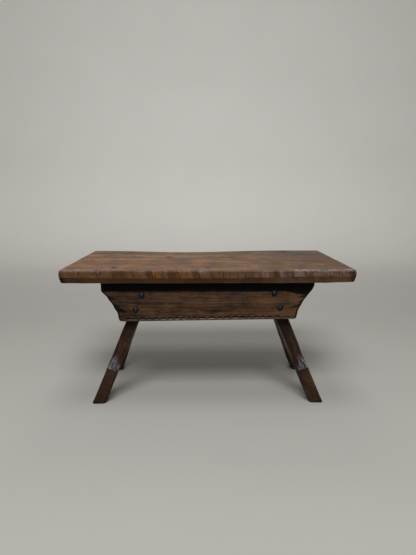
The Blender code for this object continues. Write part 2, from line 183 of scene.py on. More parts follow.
class Strokes:
    """Tool strokes laid side by side along a line: each has its own width, depth, tilt and tone."""

    def __init__(self, start, end, widths, seed, unit=MM):
        rng = np.random.default_rng(seed)
        narrow, wide = (width * unit for width in widths)
        edges = [start]
        while edges[-1] < end:
            edges.append(edges[-1] + rng.uniform(narrow, wide))
        self.edges = np.array(edges)
        count = len(edges)
        self.depth = rng.uniform(0, 1, count)
        self.tilt = rng.uniform(-1, 1, count)
        self.tone = rng.uniform(-1, 1, count)

    def at(self, place):
        """Depth, from 0 to 1, and tone, from -1 to 1, at each place."""
        index = np.clip(np.searchsorted(self.edges, place) - 1, 0, len(self.edges) - 2)
        low, high = self.edges[index], self.edges[index + 1]
        across = (place - low) / (high - low) * 2 - 1
        bowl = 1 - across ** 2
        depth = 0.45 * self.depth[index] + 0.2 * self.tilt[index] * across + 0.35 * bowl + 0.1
        return np.clip(depth, 0, 1), self.tone[index]


# Mesh building


def loop_normals(loops):
    """Outward normals of closed loops stacked along a piece, and the way the loops run, 1 or -1."""
    round_step = np.roll(loops, -1, axis=1) - np.roll(loops, 1, axis=1)
    normals = np.cross(round_step, np.gradient(loops, axis=0))
    normals /= np.maximum(np.linalg.norm(normals, axis=2), 1e-12)[..., None]
    way = np.sign(np.sum(normals * (loops - loops.mean(axis=1, keepdims=True))))
    return normals * way, way


def moved(loops, normals, depth):
    return loops - normals * depth[..., None]


def shell(name, loops, strips, channels):
    """A closed mesh from loops of points, each loop going out along one side of the section and back
    along the other. The first and last loops are closed by strips between their two sides.
    channels holds arrays or single numbers for CHANNELS, and one that it leaves out is zero."""
    count, size = loops.shape[:2]
    sides = size // 2 + 1
    layers = [np.broadcast_to(channels.get(key, 0.0), (count, size))[..., None] for key in CHANNELS]
    values = np.concatenate([loops, *layers], axis=2).reshape(count * size, -1)
    here = np.arange(size)
    ahead = (here + 1) % size
    low = np.arange(count - 1)[:, None] * size
    high = low + size
    faces = np.stack([high + here, high + ahead, low + ahead, low + here], axis=2).reshape(-1, 4).tolist()
    inner = []
    for first, turned in ((0, False), ((count - 1) * size, True)):
        grid = np.empty((sides, strips + 1), dtype=int)
        for j in range(sides):
            near, far = first + j, first + (size - j) % size
            grid[j] = near
            grid[j, strips] = far
            for k in range(1, strips if near != far else 1):
                share = k / strips
                grid[j, k] = count * size + len(inner)
                inner.append(values[near] * (1 - share) + values[far] * share)
        for j in range(sides - 1):
            for k in range(strips):
                corners = (grid[j, k], grid[j + 1, k], grid[j + 1, k + 1], grid[j, k + 1])
                face = list(dict.fromkeys(int(corner) for corner in corners))
                if len(face) > 2:
                    faces.append(face[::-1] if turned else face)
    values = np.concatenate([values, inner])
    mesh = bpy.data.meshes.new(name)
    mesh.from_pydata(values[:, :3].tolist(), [], faces)
    for place, key in enumerate(CHANNELS, 3):
        layer = mesh.attributes.new(key, "FLOAT", "POINT")
        layer.data.foreach_set("value", values[:, place].astype(np.float32))
    mesh.update()
    mesh.shade_smooth()
    if loop_normals(loops)[1] > 0:
        mesh.flip_normals()
    return mesh


def link(name, data):
    made = bpy.data.objects.new(name, data)
    bpy.context.collection.objects.link(made)
    return made


def add_piece(name, node, look, loops, strips, axes, origin, seed, **channels):
    """Put a mesh in the scene in place of its node, with coordinates that follow its grain. The look is
    its material and the name of its slot, which is not used."""
    mesh = shell(name, loops, strips, channels)
    points = np.empty(len(mesh.vertices) * 3)
    mesh.vertices.foreach_get("co", points)
    shift = np.random.default_rng(seed).uniform(-3, 3, 3)
    grain = (points.reshape(-1, 3) - origin) @ axes.T + shift
    layer = mesh.attributes.new("grain", "FLOAT_VECTOR", "POINT")
    layer.data.foreach_set("vector", grain.astype(np.float32).ravel())
    material, slot = look
    mesh.materials.append(material)
    piece = link(name, mesh)
    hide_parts(node)
    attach(piece, "root")


# Seat plank

SEAT_BEVEL_HEIGHT = 14.0 * MM
SEAT_BEVEL_INSET = 8.0 * MM
SEAT_ARRIS = 3.2 * MM
SEAT_LEFT_LIFT = 0.5 * MM
SEAT_RIGHT_LIFT = 2.2 * MM
SEAT_STEP = 2.5 * MM
LEFT_BREAK_RISE = 1.6 * MM
RIGHT_BREAK_RISE = 4.2 * MM
BREAK_WAVE = 2.4 * MM
NOSE_TOP = 1.8 * MM
NOSE_BOTTOM = 6.5 * MM
NOSE_CORNER = 4.0 * MM
SEAT_NAIL_X = APRON_TOP_HALF - 30.0 * MM
SEAT_NAIL_Y = APRON_FACE_Y - APRON_THICKNESS / 2
SEAT_NAIL_SINK = 0.6 * MM
SEAT_NAIL_DENT = 1.15 * MM
ARRIS_RUN_IN = 12.0 * MM
BEVEL_ROUNDING = 1.0 * MM
BEVEL_STRAIGHT = 0.92
CRACK_WANDER = 2.5 * MM
LIT_BACK_STRIP = 26.0 * MM
FLECK_REACH = 26.0 * MM
CORNER_DARKENING = 15.0 * MM
HEWN_END_DROP = 2.0 * MM
EDGE_WANDER = 3.5 * MM
# Softness of the marks along the front edge and of the rubbed places with a painted highlight on its arris
# (mm)
EDGE_SOFTNESS = 6.0
RUBBED_AND_LIT_SOFTNESS = 14.0
# Least and greatest width of the hewn strokes: waves of the break line, the facet's short and broad ones,
# and those of the bevel, the ends and the underside (mm)
BREAK_STROKES = (18, 42)
SHORT_STROKES = (9, 26)
BROAD_STROKES = (35, 80)
BEVEL_STROKES = (28, 62)
END_STROKES = (14, 40)
UNDER_STROKES = (22, 55)

# Dark marks on the top: place along and across, half length, half depth (mm), and strength
SEAT_MARKS = (
    (-107, 32, 11, 15, 1.6), (-226, -134, 9, 10, 1.4), (-240, 112, 28, 14, 0.9), (-268, 77, 42, 10, 0.9),
    (-281, 48, 40, 9, 0.6), (-149, -91, 26, 5, 0.9), (-115, -76, 20, 5, 0.8), (-57, -9, 20, 16, 0.7),
    (-28, 8, 24, 16, 0.6), (-4, -130, 12, 6, 0.5), (234, 138, 26, 18, 1.3), (262, 91, 52, 36, 1.05),
    (290, 66, 42, 22, 0.8), (232, -110, 10, 7, 1.2), (20, 120, 60, 12, 0.35), (120, 60, 50, 10, 0.3),
    (-303, -50, 24, 12, 0.4),
)
# Marks along the front edge: start and end (mm), warm above zero and grey below it
EDGE_MARKS = (
    (-340, -326, 0.5), (-326, -303, -0.4), (-278, -264, 1.0), (-264, -249, -1.2), (-249, -223, 0.3),
    (-193, -174, 1.0), (-172, -156, -0.8), (-156, -142, 1.1), (-128, -111, 1.5), (-111, -104, -0.8),
    (-104, -93, 0.8), (-74, -57, -0.5), (-57, -53, 1.3), (-53, -44, -1.0), (-44, -36, 0.9), (-18, 6, -0.5),
    (6, 17, 0.6), (38, 55, -1.0), (55, 76, 0.4), (76, 118, -0.5), (132, 148, -1.1), (148, 171, 1.1),
    (202, 225, -1.1), (225, 246, 0.7), (246, 258, -0.9), (276, 300, -0.5), (318, 335, -1.2),
)
# Dark places along the front edge, and rubbed ones with painted highlights on its arris: start, end (mm) and
# strength
EDGE_SHADES = (
    (-262, -256, 1.3), (-223, -193, 1.3), (-142, -128, 1.3), (-93, -74, 1.3), (-34, -18, 1.3),
    (158, 165, 1.3), (228, 234, 1.3), (336, 348, 1.3),
)
RUBBED_AND_LIT_MARKS = ((-350, -258, 0.85), (-258, -236, 0.4), (208, 262, 1.1), (285, 345, 0.9))
# Drying cracks: which end, place across, length, width and depth (mm)
SEAT_CRACKS = (
    (-1, 52, 95, 1.5, 2.2), (-1, -70, 60, 1.3, 1.6), (1, 18, 120, 1.5, 2.4), (1, -112, 55, 1.3, 1.5),
    (-1, 118, 45, 1.2, 1.4), (1, 96, 70, 1.3, 1.6),
)
# Least and greatest place (m), reach and depth (mm) and stretch of the dents in the top
DENT_LEAST = (-0.34, -0.17, 3, 0.15, 1)
DENT_MOST = (0.34, 0.17, 9, 0.5, 3)


def hollow(x, y):
    """Depth of the hollow worn into the back half of the top."""
    reach = SEAT_HALF_LENGTH - abs(HOLLOW_CENTRE_X)
    along = 1 - smooth(np.abs(x - HOLLOW_CENTRE_X) / reach)
    across = smooth((y - HOLLOW_START_Y) / (SEAT_HALF_DEPTH - HOLLOW_START_Y))
    return HOLLOW_DEPTH * along * across


def arris_reach(x):
    """How far the rounding of the front arris runs onto the top."""
    return (3.5 + 5.0 * ease(x, -170, 90) + 4.5 * ease(x, 120, 80)) * MM


def seat_nail_places():
    for row, facing in ROWS:
        for place, share in (("left", -1), ("middle", 0), ("right", 1)):
            yield f"{row}_{place}_seat_nail", share * SEAT_NAIL_X, facing * SEAT_NAIL_Y


def seat_strokes(widths, seed):
    return Strokes(-SEAT_HALF_LENGTH, SEAT_HALF_LENGTH, widths, seed)


def seat_places():
    """Where the sections of the seat stand along it, closer together round the ends."""
    plain_half = SEAT_HALF_LENGTH - NOSE_BOTTOM
    body = np.linspace(-1, 1, int(2 * plain_half / SEAT_STEP)) * plain_half
    rounding = SEAT_HALF_LENGTH - NOSE_BOTTOM * (1 - np.cos(np.linspace(0, 1, 12) * TAU / 4))
    return np.concatenate([-rounding[:-1], body, rounding[-2::-1]])[:, None]


def seat_loops(x, from_end, middle):
    """Sections of the seat at every x: over the top from front to back, then back along the underside.
    The kinds say what each point lies on, and the sides are -1 at the front edge and 1 at the back."""
    end_lift = np.where(x > 0, SEAT_RIGHT_LIFT, SEAT_LEFT_LIFT)
    lift = end_lift * smooth((np.abs(x) - APRON_TOP_HALF) / (SEAT_HALF_LENGTH - APRON_TOP_HALF))
    top = middle + (SEAT_TOP_Z - middle) * (0.45 + 0.55 * arc(from_end / NOSE_TOP))
    low = middle - (middle - UNDERSIDE_Z - lift) * (0.42 + 0.58 * arc(from_end / NOSE_BOTTOM) ** 0.9)
    edge = SEAT_HALF_DEPTH - NOSE_CORNER * (1 - arc(from_end / NOSE_CORNER))
    scoop, _ = seat_strokes(BREAK_STROKES, 71).at(x)
    line = middle + BREAK_WAVE * (scoop - 0.45) * (0.35 + 0.65 * ease(x, -60, 160))
    rim = SEAT_ARRIS * np.clip((top - line) / (SEAT_TOP_Z - middle), 0.3, 1)
    front_reach = arris_reach(x) * np.clip(from_end / ARRIS_RUN_IN, 0.25, 1)
    facet = np.linspace(0, 1, 10)[:-1]
    arris = np.linspace(0, 1, 9)[:-1]
    plain = np.linspace(-1, 1, 131)

    over, under = [], []
    for side, reach in ((-1, front_reach), (1, rim)):
        over_edge = points_at(x, side * edge + 0 * facet, line + (top - rim - line) * facet)
        under_edge = points_at(x, side * (edge - SEAT_BEVEL_INSET * BEVEL_STRAIGHT * facet),
                               line + (low - line) * BEVEL_STRAIGHT * facet)
        over_arris = points_at(x, side * (edge - reach * (1 - np.cos(arris * TAU / 4))),
                               top - rim * (1 - np.sin(arris * TAU / 4)))
        inset = SEAT_BEVEL_INSET * (BEVEL_STRAIGHT + (1 - BEVEL_STRAIGHT) * arris)
        drop = (low - line) * (BEVEL_STRAIGHT + (1 - BEVEL_STRAIGHT) * np.sqrt(arris))
        under_arris = points_at(x, side * (edge - inset - BEVEL_ROUNDING * arris ** 2), line + drop)
        for rows, parts in ((over, (over_edge, over_arris)), (under, (under_edge, under_arris))):
            rows.append(np.concatenate(parts, axis=1)[:, ::-side])
    across = front_reach - edge + (2 * edge - rim - front_reach) * (plain + 1) / 2
    over.insert(1, points_at(x, across, top))
    under.insert(1, points_at(x, (edge - SEAT_BEVEL_INSET - BEVEL_ROUNDING) * plain, low))
    over, under = np.concatenate(over, axis=1), np.concatenate(under, axis=1)
    rise = smooth((over[..., 2] - middle) / (SEAT_TOP_Z - middle))
    over[..., 2] -= hollow(over[..., 0], over[..., 1]) * rise
    kinds = mirrored(["facet"] * len(facet), ["arris"] * len(arris), ["plain"] * len(plain))
    sides = np.repeat((-1, 0, 1), (len(facet) + len(arris), len(plain), len(facet) + len(arris)))
    kinds, sides = (closed_loop(row[None], row[None])[0] for row in (kinds, sides))
    return closed_loop(over, under), kinds, sides, np.arange(len(kinds)) < over.shape[1]


def seat_dents(X, Y):
    """Depth of the dents scattered over the top and of those round the nail heads."""
    rng = np.random.default_rng(5)
    depth = 0 * X
    for _ in range(60):
        dent_x, dent_y, reach, sink, stretch = rng.uniform(DENT_LEAST, DENT_MOST)
        away = ((X - dent_x) / stretch) ** 2 + (Y - dent_y) ** 2
        depth += sink * MM * np.exp(-away / (reach * MM) ** 2 * 2)
    for _, nail_x, nail_y in seat_nail_places():
        depth += SEAT_NAIL_DENT * fade(np.hypot(X - nail_x, Y - nail_y), 6.5, 3)
    return depth


def seat_cracks(X, Y, coarse):
    """Depth and darkness of the drying cracks, which run in from the ends along the grain."""
    depth, dark = 0 * X, 0 * X
    for end, start, length, width, sink in SEAT_CRACKS:
        line = start * MM + CRACK_WANDER * coarse(X * 22, start)
        left = np.clip(1 - (SEAT_HALF_LENGTH - end * X) / (length * MM), 0, 1)
        cut = np.exp(-((Y - line) / (width * MM)) ** 2) * np.sqrt(left)
        depth += cut * sink * MM
        dark = np.maximum(dark, cut)
    return depth, dark


def top_marks(X, Y, cloudy):
    """Strength of the dark marks and clouds on the top."""
    to_right = ease(X, 60, 180) - 0.3 * ease(-Y, 60, 90)
    marked = 0.24 * smooth(1.5 * cloudy + 0.1 + 0.45 * to_right)
    for mark_x, mark_y, long, broad, strength in SEAT_MARKS:
        away = ((X - mark_x * MM) / (long * MM)) ** 2 + ((Y - mark_y * MM) / (broad * MM)) ** 2
        marked = np.maximum(marked, strength * np.exp(-away) * (0.8 + 0.4 * cloudy))
    return marked


def top_tone(X, Y, cloudy, coarse, fine):
    """Tones that drift over the top, flecks along the front, and a warm painted highlight along the back
    edge.
    """
    drift = 0.1 - 0.8 * ease(X, 60, 230) - 0.45 * ease(Y, 60, 100) + 0.15 * ease(-X, 60, 200)
    drift -= 0.15 * ease(Y, -100, 120) + 0.3 * ease(X, 240, 90)
    drift += 1.25 * coarse.fractal(X * 21, Y * 15, 2)
    fleck = fine(X * 160, Y * 300) * np.exp(-(Y + SEAT_HALF_DEPTH) / FLECK_REACH)
    reach = LIT_BACK_STRIP * (1 + coarse(X * 13, 0, 4))
    lit_back_strip = (1.9 + 1.2 * cloudy) * ease(Y - SEAT_HALF_DEPTH + reach, 0, 24)
    return drift + 1.1 * fleck + lit_back_strip


def build_seat(look):
    x = seat_places()
    from_end = SEAT_HALF_LENGTH - np.abs(x)
    middle = (UNDERSIDE_Z + SEAT_BEVEL_HEIGHT + LEFT_BREAK_RISE * ease(-x, 120, 200)
              + RIGHT_BREAK_RISE * ease(x, 20, 260))
    loops, kinds, side, is_top = seat_loops(x, from_end, middle)
    X, Y, Z = np.moveaxis(loops, 2, 0)
    on_edge = kinds != "plain"
    on_front = side < 0
    flat = is_top & (kinds != "facet")
    flat_under = ~is_top & ~on_edge
    bevel = ~is_top & on_edge
    coarse, fine = Noise(11), Noise(12)
    depth = 0 * X
    tone = 0.5 * coarse(X * 9, Y * 22, Z * 30)

    # Hewn strokes on the long edges, upright on the facet and longer on the bevel under it
    slant = 0.35 * (Z - middle)
    rise = np.clip((Z - middle) / (SEAT_TOP_Z - middle), 0, 1)
    for seed, facing in ((21, -1), (22, 1)):
        short_depth, short_tone = seat_strokes(SHORT_STROKES, seed).at(X + slant)
        broad_depth, _ = seat_strokes(BROAD_STROKES, seed + 10).at(X)
        long_depth, long_tone = seat_strokes(BEVEL_STROKES, seed + 20).at(X - slant)
        upper = (side == facing) & is_top
        lower = (side == facing) & ~is_top
        depth += upper * (0.45 * short_depth + 0.55 * broad_depth - 0.1) * MM * (0.35 + 0.65 * rise)
        depth += lower * (0.8 * long_depth - 0.4) * MM * ease(middle - Z, 0, 4)
        tone = np.where(upper, 0.45 * short_tone, tone)
        tone = np.where(lower, 0.4 * long_tone, tone)

    # Strokes across the ends
    near_end = fade(from_end, 0, 7)
    end_strokes = Strokes(-SEAT_HALF_DEPTH, SEAT_HALF_DEPTH, END_STROKES, 31)
    end_depth, end_tone = end_strokes.at(Y + 0.3 * (Z - middle))
    depth = depth * (1 - near_end) + near_end * (end_depth * 0.9 - 0.7) * MM
    tone = tone * (1 - near_end) + end_tone * near_end

    # Slow waves left by the plane, grain ridges and dents on top, broad strokes under the seat
    wave = coarse.fractal(X * 7, Y * 16)
    ridge = fine.fractal(X * 9, Y * 260)
    depth += flat * ((0.39 + 0.3 * wave + 0.11 * ridge) * MM + seat_dents(X, Y))
    under_wave = coarse.fractal(X * 14, Y * 9, 3)
    under_depth, _ = seat_strokes(UNDER_STROKES, 41).at(X + 0.12 * Y)
    depth += flat_under * (0.3 + 0.25 * under_wave + 0.5 * under_depth) * MM
    crack_depth, crack = seat_cracks(X, Y, coarse)
    depth += crack_depth * (0.35 + 0.65 * is_top)
    loops = moved(loops, loop_normals(loops)[0], depth)
    loops = np.clip(loops, (-SEAT_HALF_LENGTH, -SEAT_HALF_DEPTH, UNDERSIDE_Z),
                    (SEAT_HALF_LENGTH, SEAT_HALF_DEPTH, SEAT_TOP_Z))

    # Rubbed patches with a painted highlight line along the front arris, and the darker colour of the hewn
    # edges
    from_edge = SEAT_HALF_DEPTH - np.abs(Y)
    reach = np.where(Y < 0, arris_reach(X), SEAT_ARRIS)
    rubbed = np.where(Y < 0, spans(X, RUBBED_AND_LIT_MARKS, RUBBED_AND_LIT_SOFTNESS), 0.3)
    patchy = smooth(0.5 + 1.1 * coarse.fractal(X * 40, Y * 40, Z * 40, 2))
    # Painted highlight: a pale line along the arris, as if it caught the light, strongest on the rubbed
    # patches
    line = np.exp(-((from_edge / reach - 0.75) / 0.35) ** 2)
    worn = flat * (0.10 + 0.90 * rubbed * (0.35 + 0.65 * patchy)) * line
    worn = np.maximum(worn, near_end * (Z > middle) * 0.25 * patchy)
    worn = np.maximum(worn, 0.09 * fade(Y + SEAT_HALF_DEPTH, 0, 70) * flat)
    ragged = 1.25 + 0.5 * coarse(X * 55, 0, 9)
    hewn_edge = np.where(flat, smooth((reach * ragged - from_edge) / (reach * 0.7)), 1.0)
    hewn_edge = np.maximum(hewn_edge, near_end * (Z < SEAT_TOP_Z - HEWN_END_DROP))

    # Tones and dark marks of the top, and the warm, grey and dark places along the front edge
    cloudy = coarse.fractal(X * 19, Y * 14, 6, 4, 0.6)
    top_here = is_top & ~on_edge
    tone = np.where(top_here, tone + top_tone(X, Y, cloudy, coarse, fine), tone)
    front_edge = on_front & is_top
    greyed = 1.1 * ease(X, 70, 160)
    wander = 0.25 * (Z - middle) + EDGE_WANDER * coarse(X * 90, 0, Z * 160)
    weaker = 0.65 + 0.5 * coarse(X * 35, 0, Z * 90 + 5)
    blaze = front_edge * weaker * spans(X + wander, EDGE_MARKS, EDGE_SOFTNESS) - greyed * on_front
    tone = tone - front_edge * spans(X + wander, EDGE_SHADES, EDGE_SOFTNESS) + 0.45 * bevel
    # Darker bevel under the front edge and darker front corners
    front_corner = 0.5 * smooth(1.3 - from_end / CORNER_DARKENING) * (on_front & ~flat)
    add_piece(
        "seat_plank", "seat_top", look, loops, 6, np.eye(3), (0, 0, SEAT_TOP_Z), 101,
        wear=worn,
        tone=tone,
        grime=0.75 * flat_under + bevel * (0.46 - 0.11 * greyed) + 0.8 * crack + front_corner,
        facet=hewn_edge * np.where(bevel, 0.7, 1.0),
        patch=top_here * top_marks(X, Y, cloudy),
        blaze=blaze,
    )


# Aprons

# The outline of each end: share of the way down, and share of the inset
LEFT_OGEE_SHARES = (
    (0.0, 0.0), (0.22, 0.0), (0.265, 0.04), (0.31, 0.16), (0.36, 0.285), (0.41, 0.365), (0.48, 0.45),
    (0.54, 0.57), (0.61, 0.665), (0.67, 0.715), (0.74, 0.825), (0.82, 0.905), (0.91, 0.925), (1.0, 1.0),
)
RIGHT_OGEE_SHARES = (
    (0.0, 0.0), (0.10, 0.01), (0.165, 0.05), (0.24, 0.14), (0.325, 0.295), (0.40, 0.41), (0.48, 0.545),
    (0.545, 0.63), (0.63, 0.715), (0.71, 0.82), (0.79, 0.89), (0.88, 0.93), (0.94, 0.955), (1.0, 1.0),
)
APRON_CHAMFER_WIDTH = 6.0 * MM
APRON_CHAMFER_DEPTH = 3.0 * MM
NOTCH_HEIGHT = 7.4 * MM
NOTCH_DEPTH = 4.0 * MM
NOTCH_LIP = 2.2 * MM
# The gouge cuts along the lower edge: left end and width (mm)
NOTCH_CUTS = (
    (-203, 15.5), (-187.5, 13), (-169, 15), (-151, 12.5), (-135, 14.5), (-118, 16), (-99, 14), (-83, 13.5),
    (-66.5, 11), (-51, 8.5), (-40, 12), (-24.5, 20), (0, 20), (22, 15), (39.5, 16.5), (58, 18), (79, 15),
    (96.5, 7.5), (111.5, 13.5), (128, 13.5), (144.5, 15), (163, 16), (182, 31),
)
# Scars of the gouge that run in from the ends of the face: outer end along and up, length, half height (mm)
APRON_SCARS = (
    (-239, 290, 22, 3.4), (-226, 270, 17, 3.6), (-214, 259, 20, 5.6), (254, 309, 30, 4.6),
    (244, 296, 28, 3.4), (231, 281, 12, 2.4), (222, 270, 26, 3.0),
)
SCAR_SLANT = 0.22
SCAR_DEPTH = 1.3 * MM
NAIL_OUTSET = 3.5 * MM
NAIL_SEAT_DEPTH = 0.5 * MM
APRON_BACK_ARRIS = 0.8 * MM
APRON_END_PROUD = 0.35 * MM
LOWER_EDGE_WEAR = 0.9 * MM
UPPER_EDGE_WEAR = 0.4 * MM
RIB_SINK = 0.3 * MM
# Painted shade: the seat's shadow as a near-black band along the top of each apron's face, with a little
# grime under the overhang; its depth, wander, drop at the right end and softness
SHADE_BAND_DEPTH = 25.5 * MM
SHADE_BAND_WANDER = 1.6 * MM
SHADE_BAND_RIGHT = 9.0 * MM
SHADE_BAND_SOFTNESS = 3.5 * MM
# Least and greatest width of the strokes on the face (mm), and as shares of its height those that vary
# the chamfers' width and those scooped across them
FACE_STROKES = (30, 75)
CHAMFER_STROKES = (0.10, 0.17)
SCOOP_STROKES = (0.06, 0.12)


def ogee(down, shares):
    """How far an apron's end is set in, at this share of the way down."""
    shares = np.array(shares)
    fine_down = np.linspace(0, 1, 401)
    line = np.interp(fine_down, shares[:, 0], shares[:, 1])
    kernel = np.hanning(11)
    padded = np.concatenate([np.full(5, line[0]), line, 2 * line[-1] - line[-6:-1][::-1]])
    line = np.convolve(padded, kernel / kernel.sum(), "valid")
    return np.interp(down, fine_down, line)


def leg_x(row, height):
    """How far out the middle line of this row's legs is at this height."""
    return LEAN_X[row] - (height - APRON_LOWER_Z) * math.tan(SPLAYS[row])


def edge_rise(x):
    """How much higher an apron's slanted lower edge is here than in its middle."""
    return APRON_EDGE_SLANT * x / (2 * APRON_TOP_HALF)


def nail_places():
    """Name, place on the apron's face and turn of every apron nail."""
    for row, facing in ROWS:
        for end, side in ENDS:
            for rank, height, spin in (("upper", UPPER_NAIL_Z, 0), ("lower", LOWER_NAIL_Z, TAU / 8)):
                x = side * (leg_x(row, height) + NAIL_OUTSET)
                yield f"{row}_{end}_{rank}_nail", row, facing, x, height - facing * edge_rise(x), spin


def apron_loops(levels, columns, seed):
    """Sections of an apron at every level, along the face and back along the inside, and the kind of
    every point in them."""
    share = np.linspace(0, 1, 6)[:-1]
    edge = np.linspace(0, 1, 7)[:-1]
    ends = []
    for side, shares in ((-1, LEFT_OGEE_SHARES), (1, RIGHT_OGEE_SHARES)):
        half = APRON_TOP_HALF - APRON_END_INSET * ogee(levels, shares)
        scoop, _ = Strokes(0, 1, CHAMFER_STROKES, seed + side, 1).at(levels)
        ends.append((side * half, side * APRON_CHAMFER_WIDTH * (0.7 + 0.7 * scoop)))
    (left, left_wide), (right, right_wide) = ends
    across = (columns + 1) / 2
    flat_face = left - left_wide + across * (right - right_wide - left + left_wide)
    x = np.concatenate([left + 0 * share, left - left_wide * edge, flat_face,
                        right - right_wide * edge[::-1], right + 0 * share], axis=1)
    side_depth = APRON_THICKNESS / 2 * (1 - share) + APRON_CHAMFER_DEPTH * share
    y = mirrored(side_depth, APRON_CHAMFER_DEPTH * (1 - edge), 0 * columns) - APRON_FACE_Y
    flat_back = left + APRON_BACK_ARRIS + across * (right - left - 2 * APRON_BACK_ARRIS)
    corner = np.zeros(len(share) + len(edge))
    x_in = np.concatenate([left + corner, flat_back, right + corner], axis=1)
    deep = mirrored(0.5 + 0.45 * share, 0.95 + 0.05 * edge, 0 * columns + 1)
    y_in = APRON_THICKNESS * deep - APRON_FACE_Y
    front = points_at(x, y, CARRIED_Z - levels * (APRON_HEIGHT - edge_rise(x)))
    inside = points_at(x_in, y_in, CARRIED_Z - levels * (APRON_HEIGHT - edge_rise(x_in)))
    kinds = mirrored(["side"] * len(share), ["chamfer"] * len(edge), ["face"] * len(columns))
    return closed_loop(front, inside), np.append(kinds, ["inside"] * (len(kinds) - 2))


def notch_field(X, above_foot, seed):
    """Depth of the gouge cuts along an apron's lower edge, how far up its cut each point is, and how strong
    the painted highlight on the floor of its cut is."""
    rng = np.random.default_rng(seed)
    depth, rise, tones = 0 * X, 0 * X, 0 * X
    for start, width in NOTCH_CUTS:
        half = width / 2 * MM
        shallow = min(1.0, 20 / width)
        high = NOTCH_HEIGHT * rng.uniform(0.86, 1.05) * shallow
        sink = NOTCH_DEPTH * rng.uniform(0.8, 1.1) * shallow
        lean = rng.uniform(-0.15, 0.15)
        pale = rng.uniform(0.3, 1.0)
        a = (X - start * MM - half) / half
        arch = np.maximum(np.clip(1 - a ** 4, 0, 1) ** 0.5 * (1 + lean * a), 1e-6)
        up = (above_foot - NOTCH_LIP) / high / arch
        inside = (up > 0) & (up < 1) & (np.abs(a) < 1)
        cut = sink * np.minimum(up / 0.55, (1 - up) / 0.30) * (1 - 0.3 * a ** 2)
        depth = np.where(inside, np.minimum(cut, sink), depth)
        rise = np.where(inside, up, rise)
        tones = np.where(inside, pale, tones)
    return depth, rise, tones


def apron_scars(X, Z):
    scars = 0 * X
    for scar_x, scar_z, long, high in APRON_SCARS:
        inward = (scar_x * MM - X) * np.sign(scar_x)
        share = np.clip(1 - inward / (long * MM), 0.02, 1)
        upward = (Z - scar_z * MM + SCAR_SLANT * inward) / (high * MM * (0.35 + 0.65 * share))
        scars = np.maximum(scars, smooth(1.4 * share) * np.exp(-upward ** 2))
    return scars


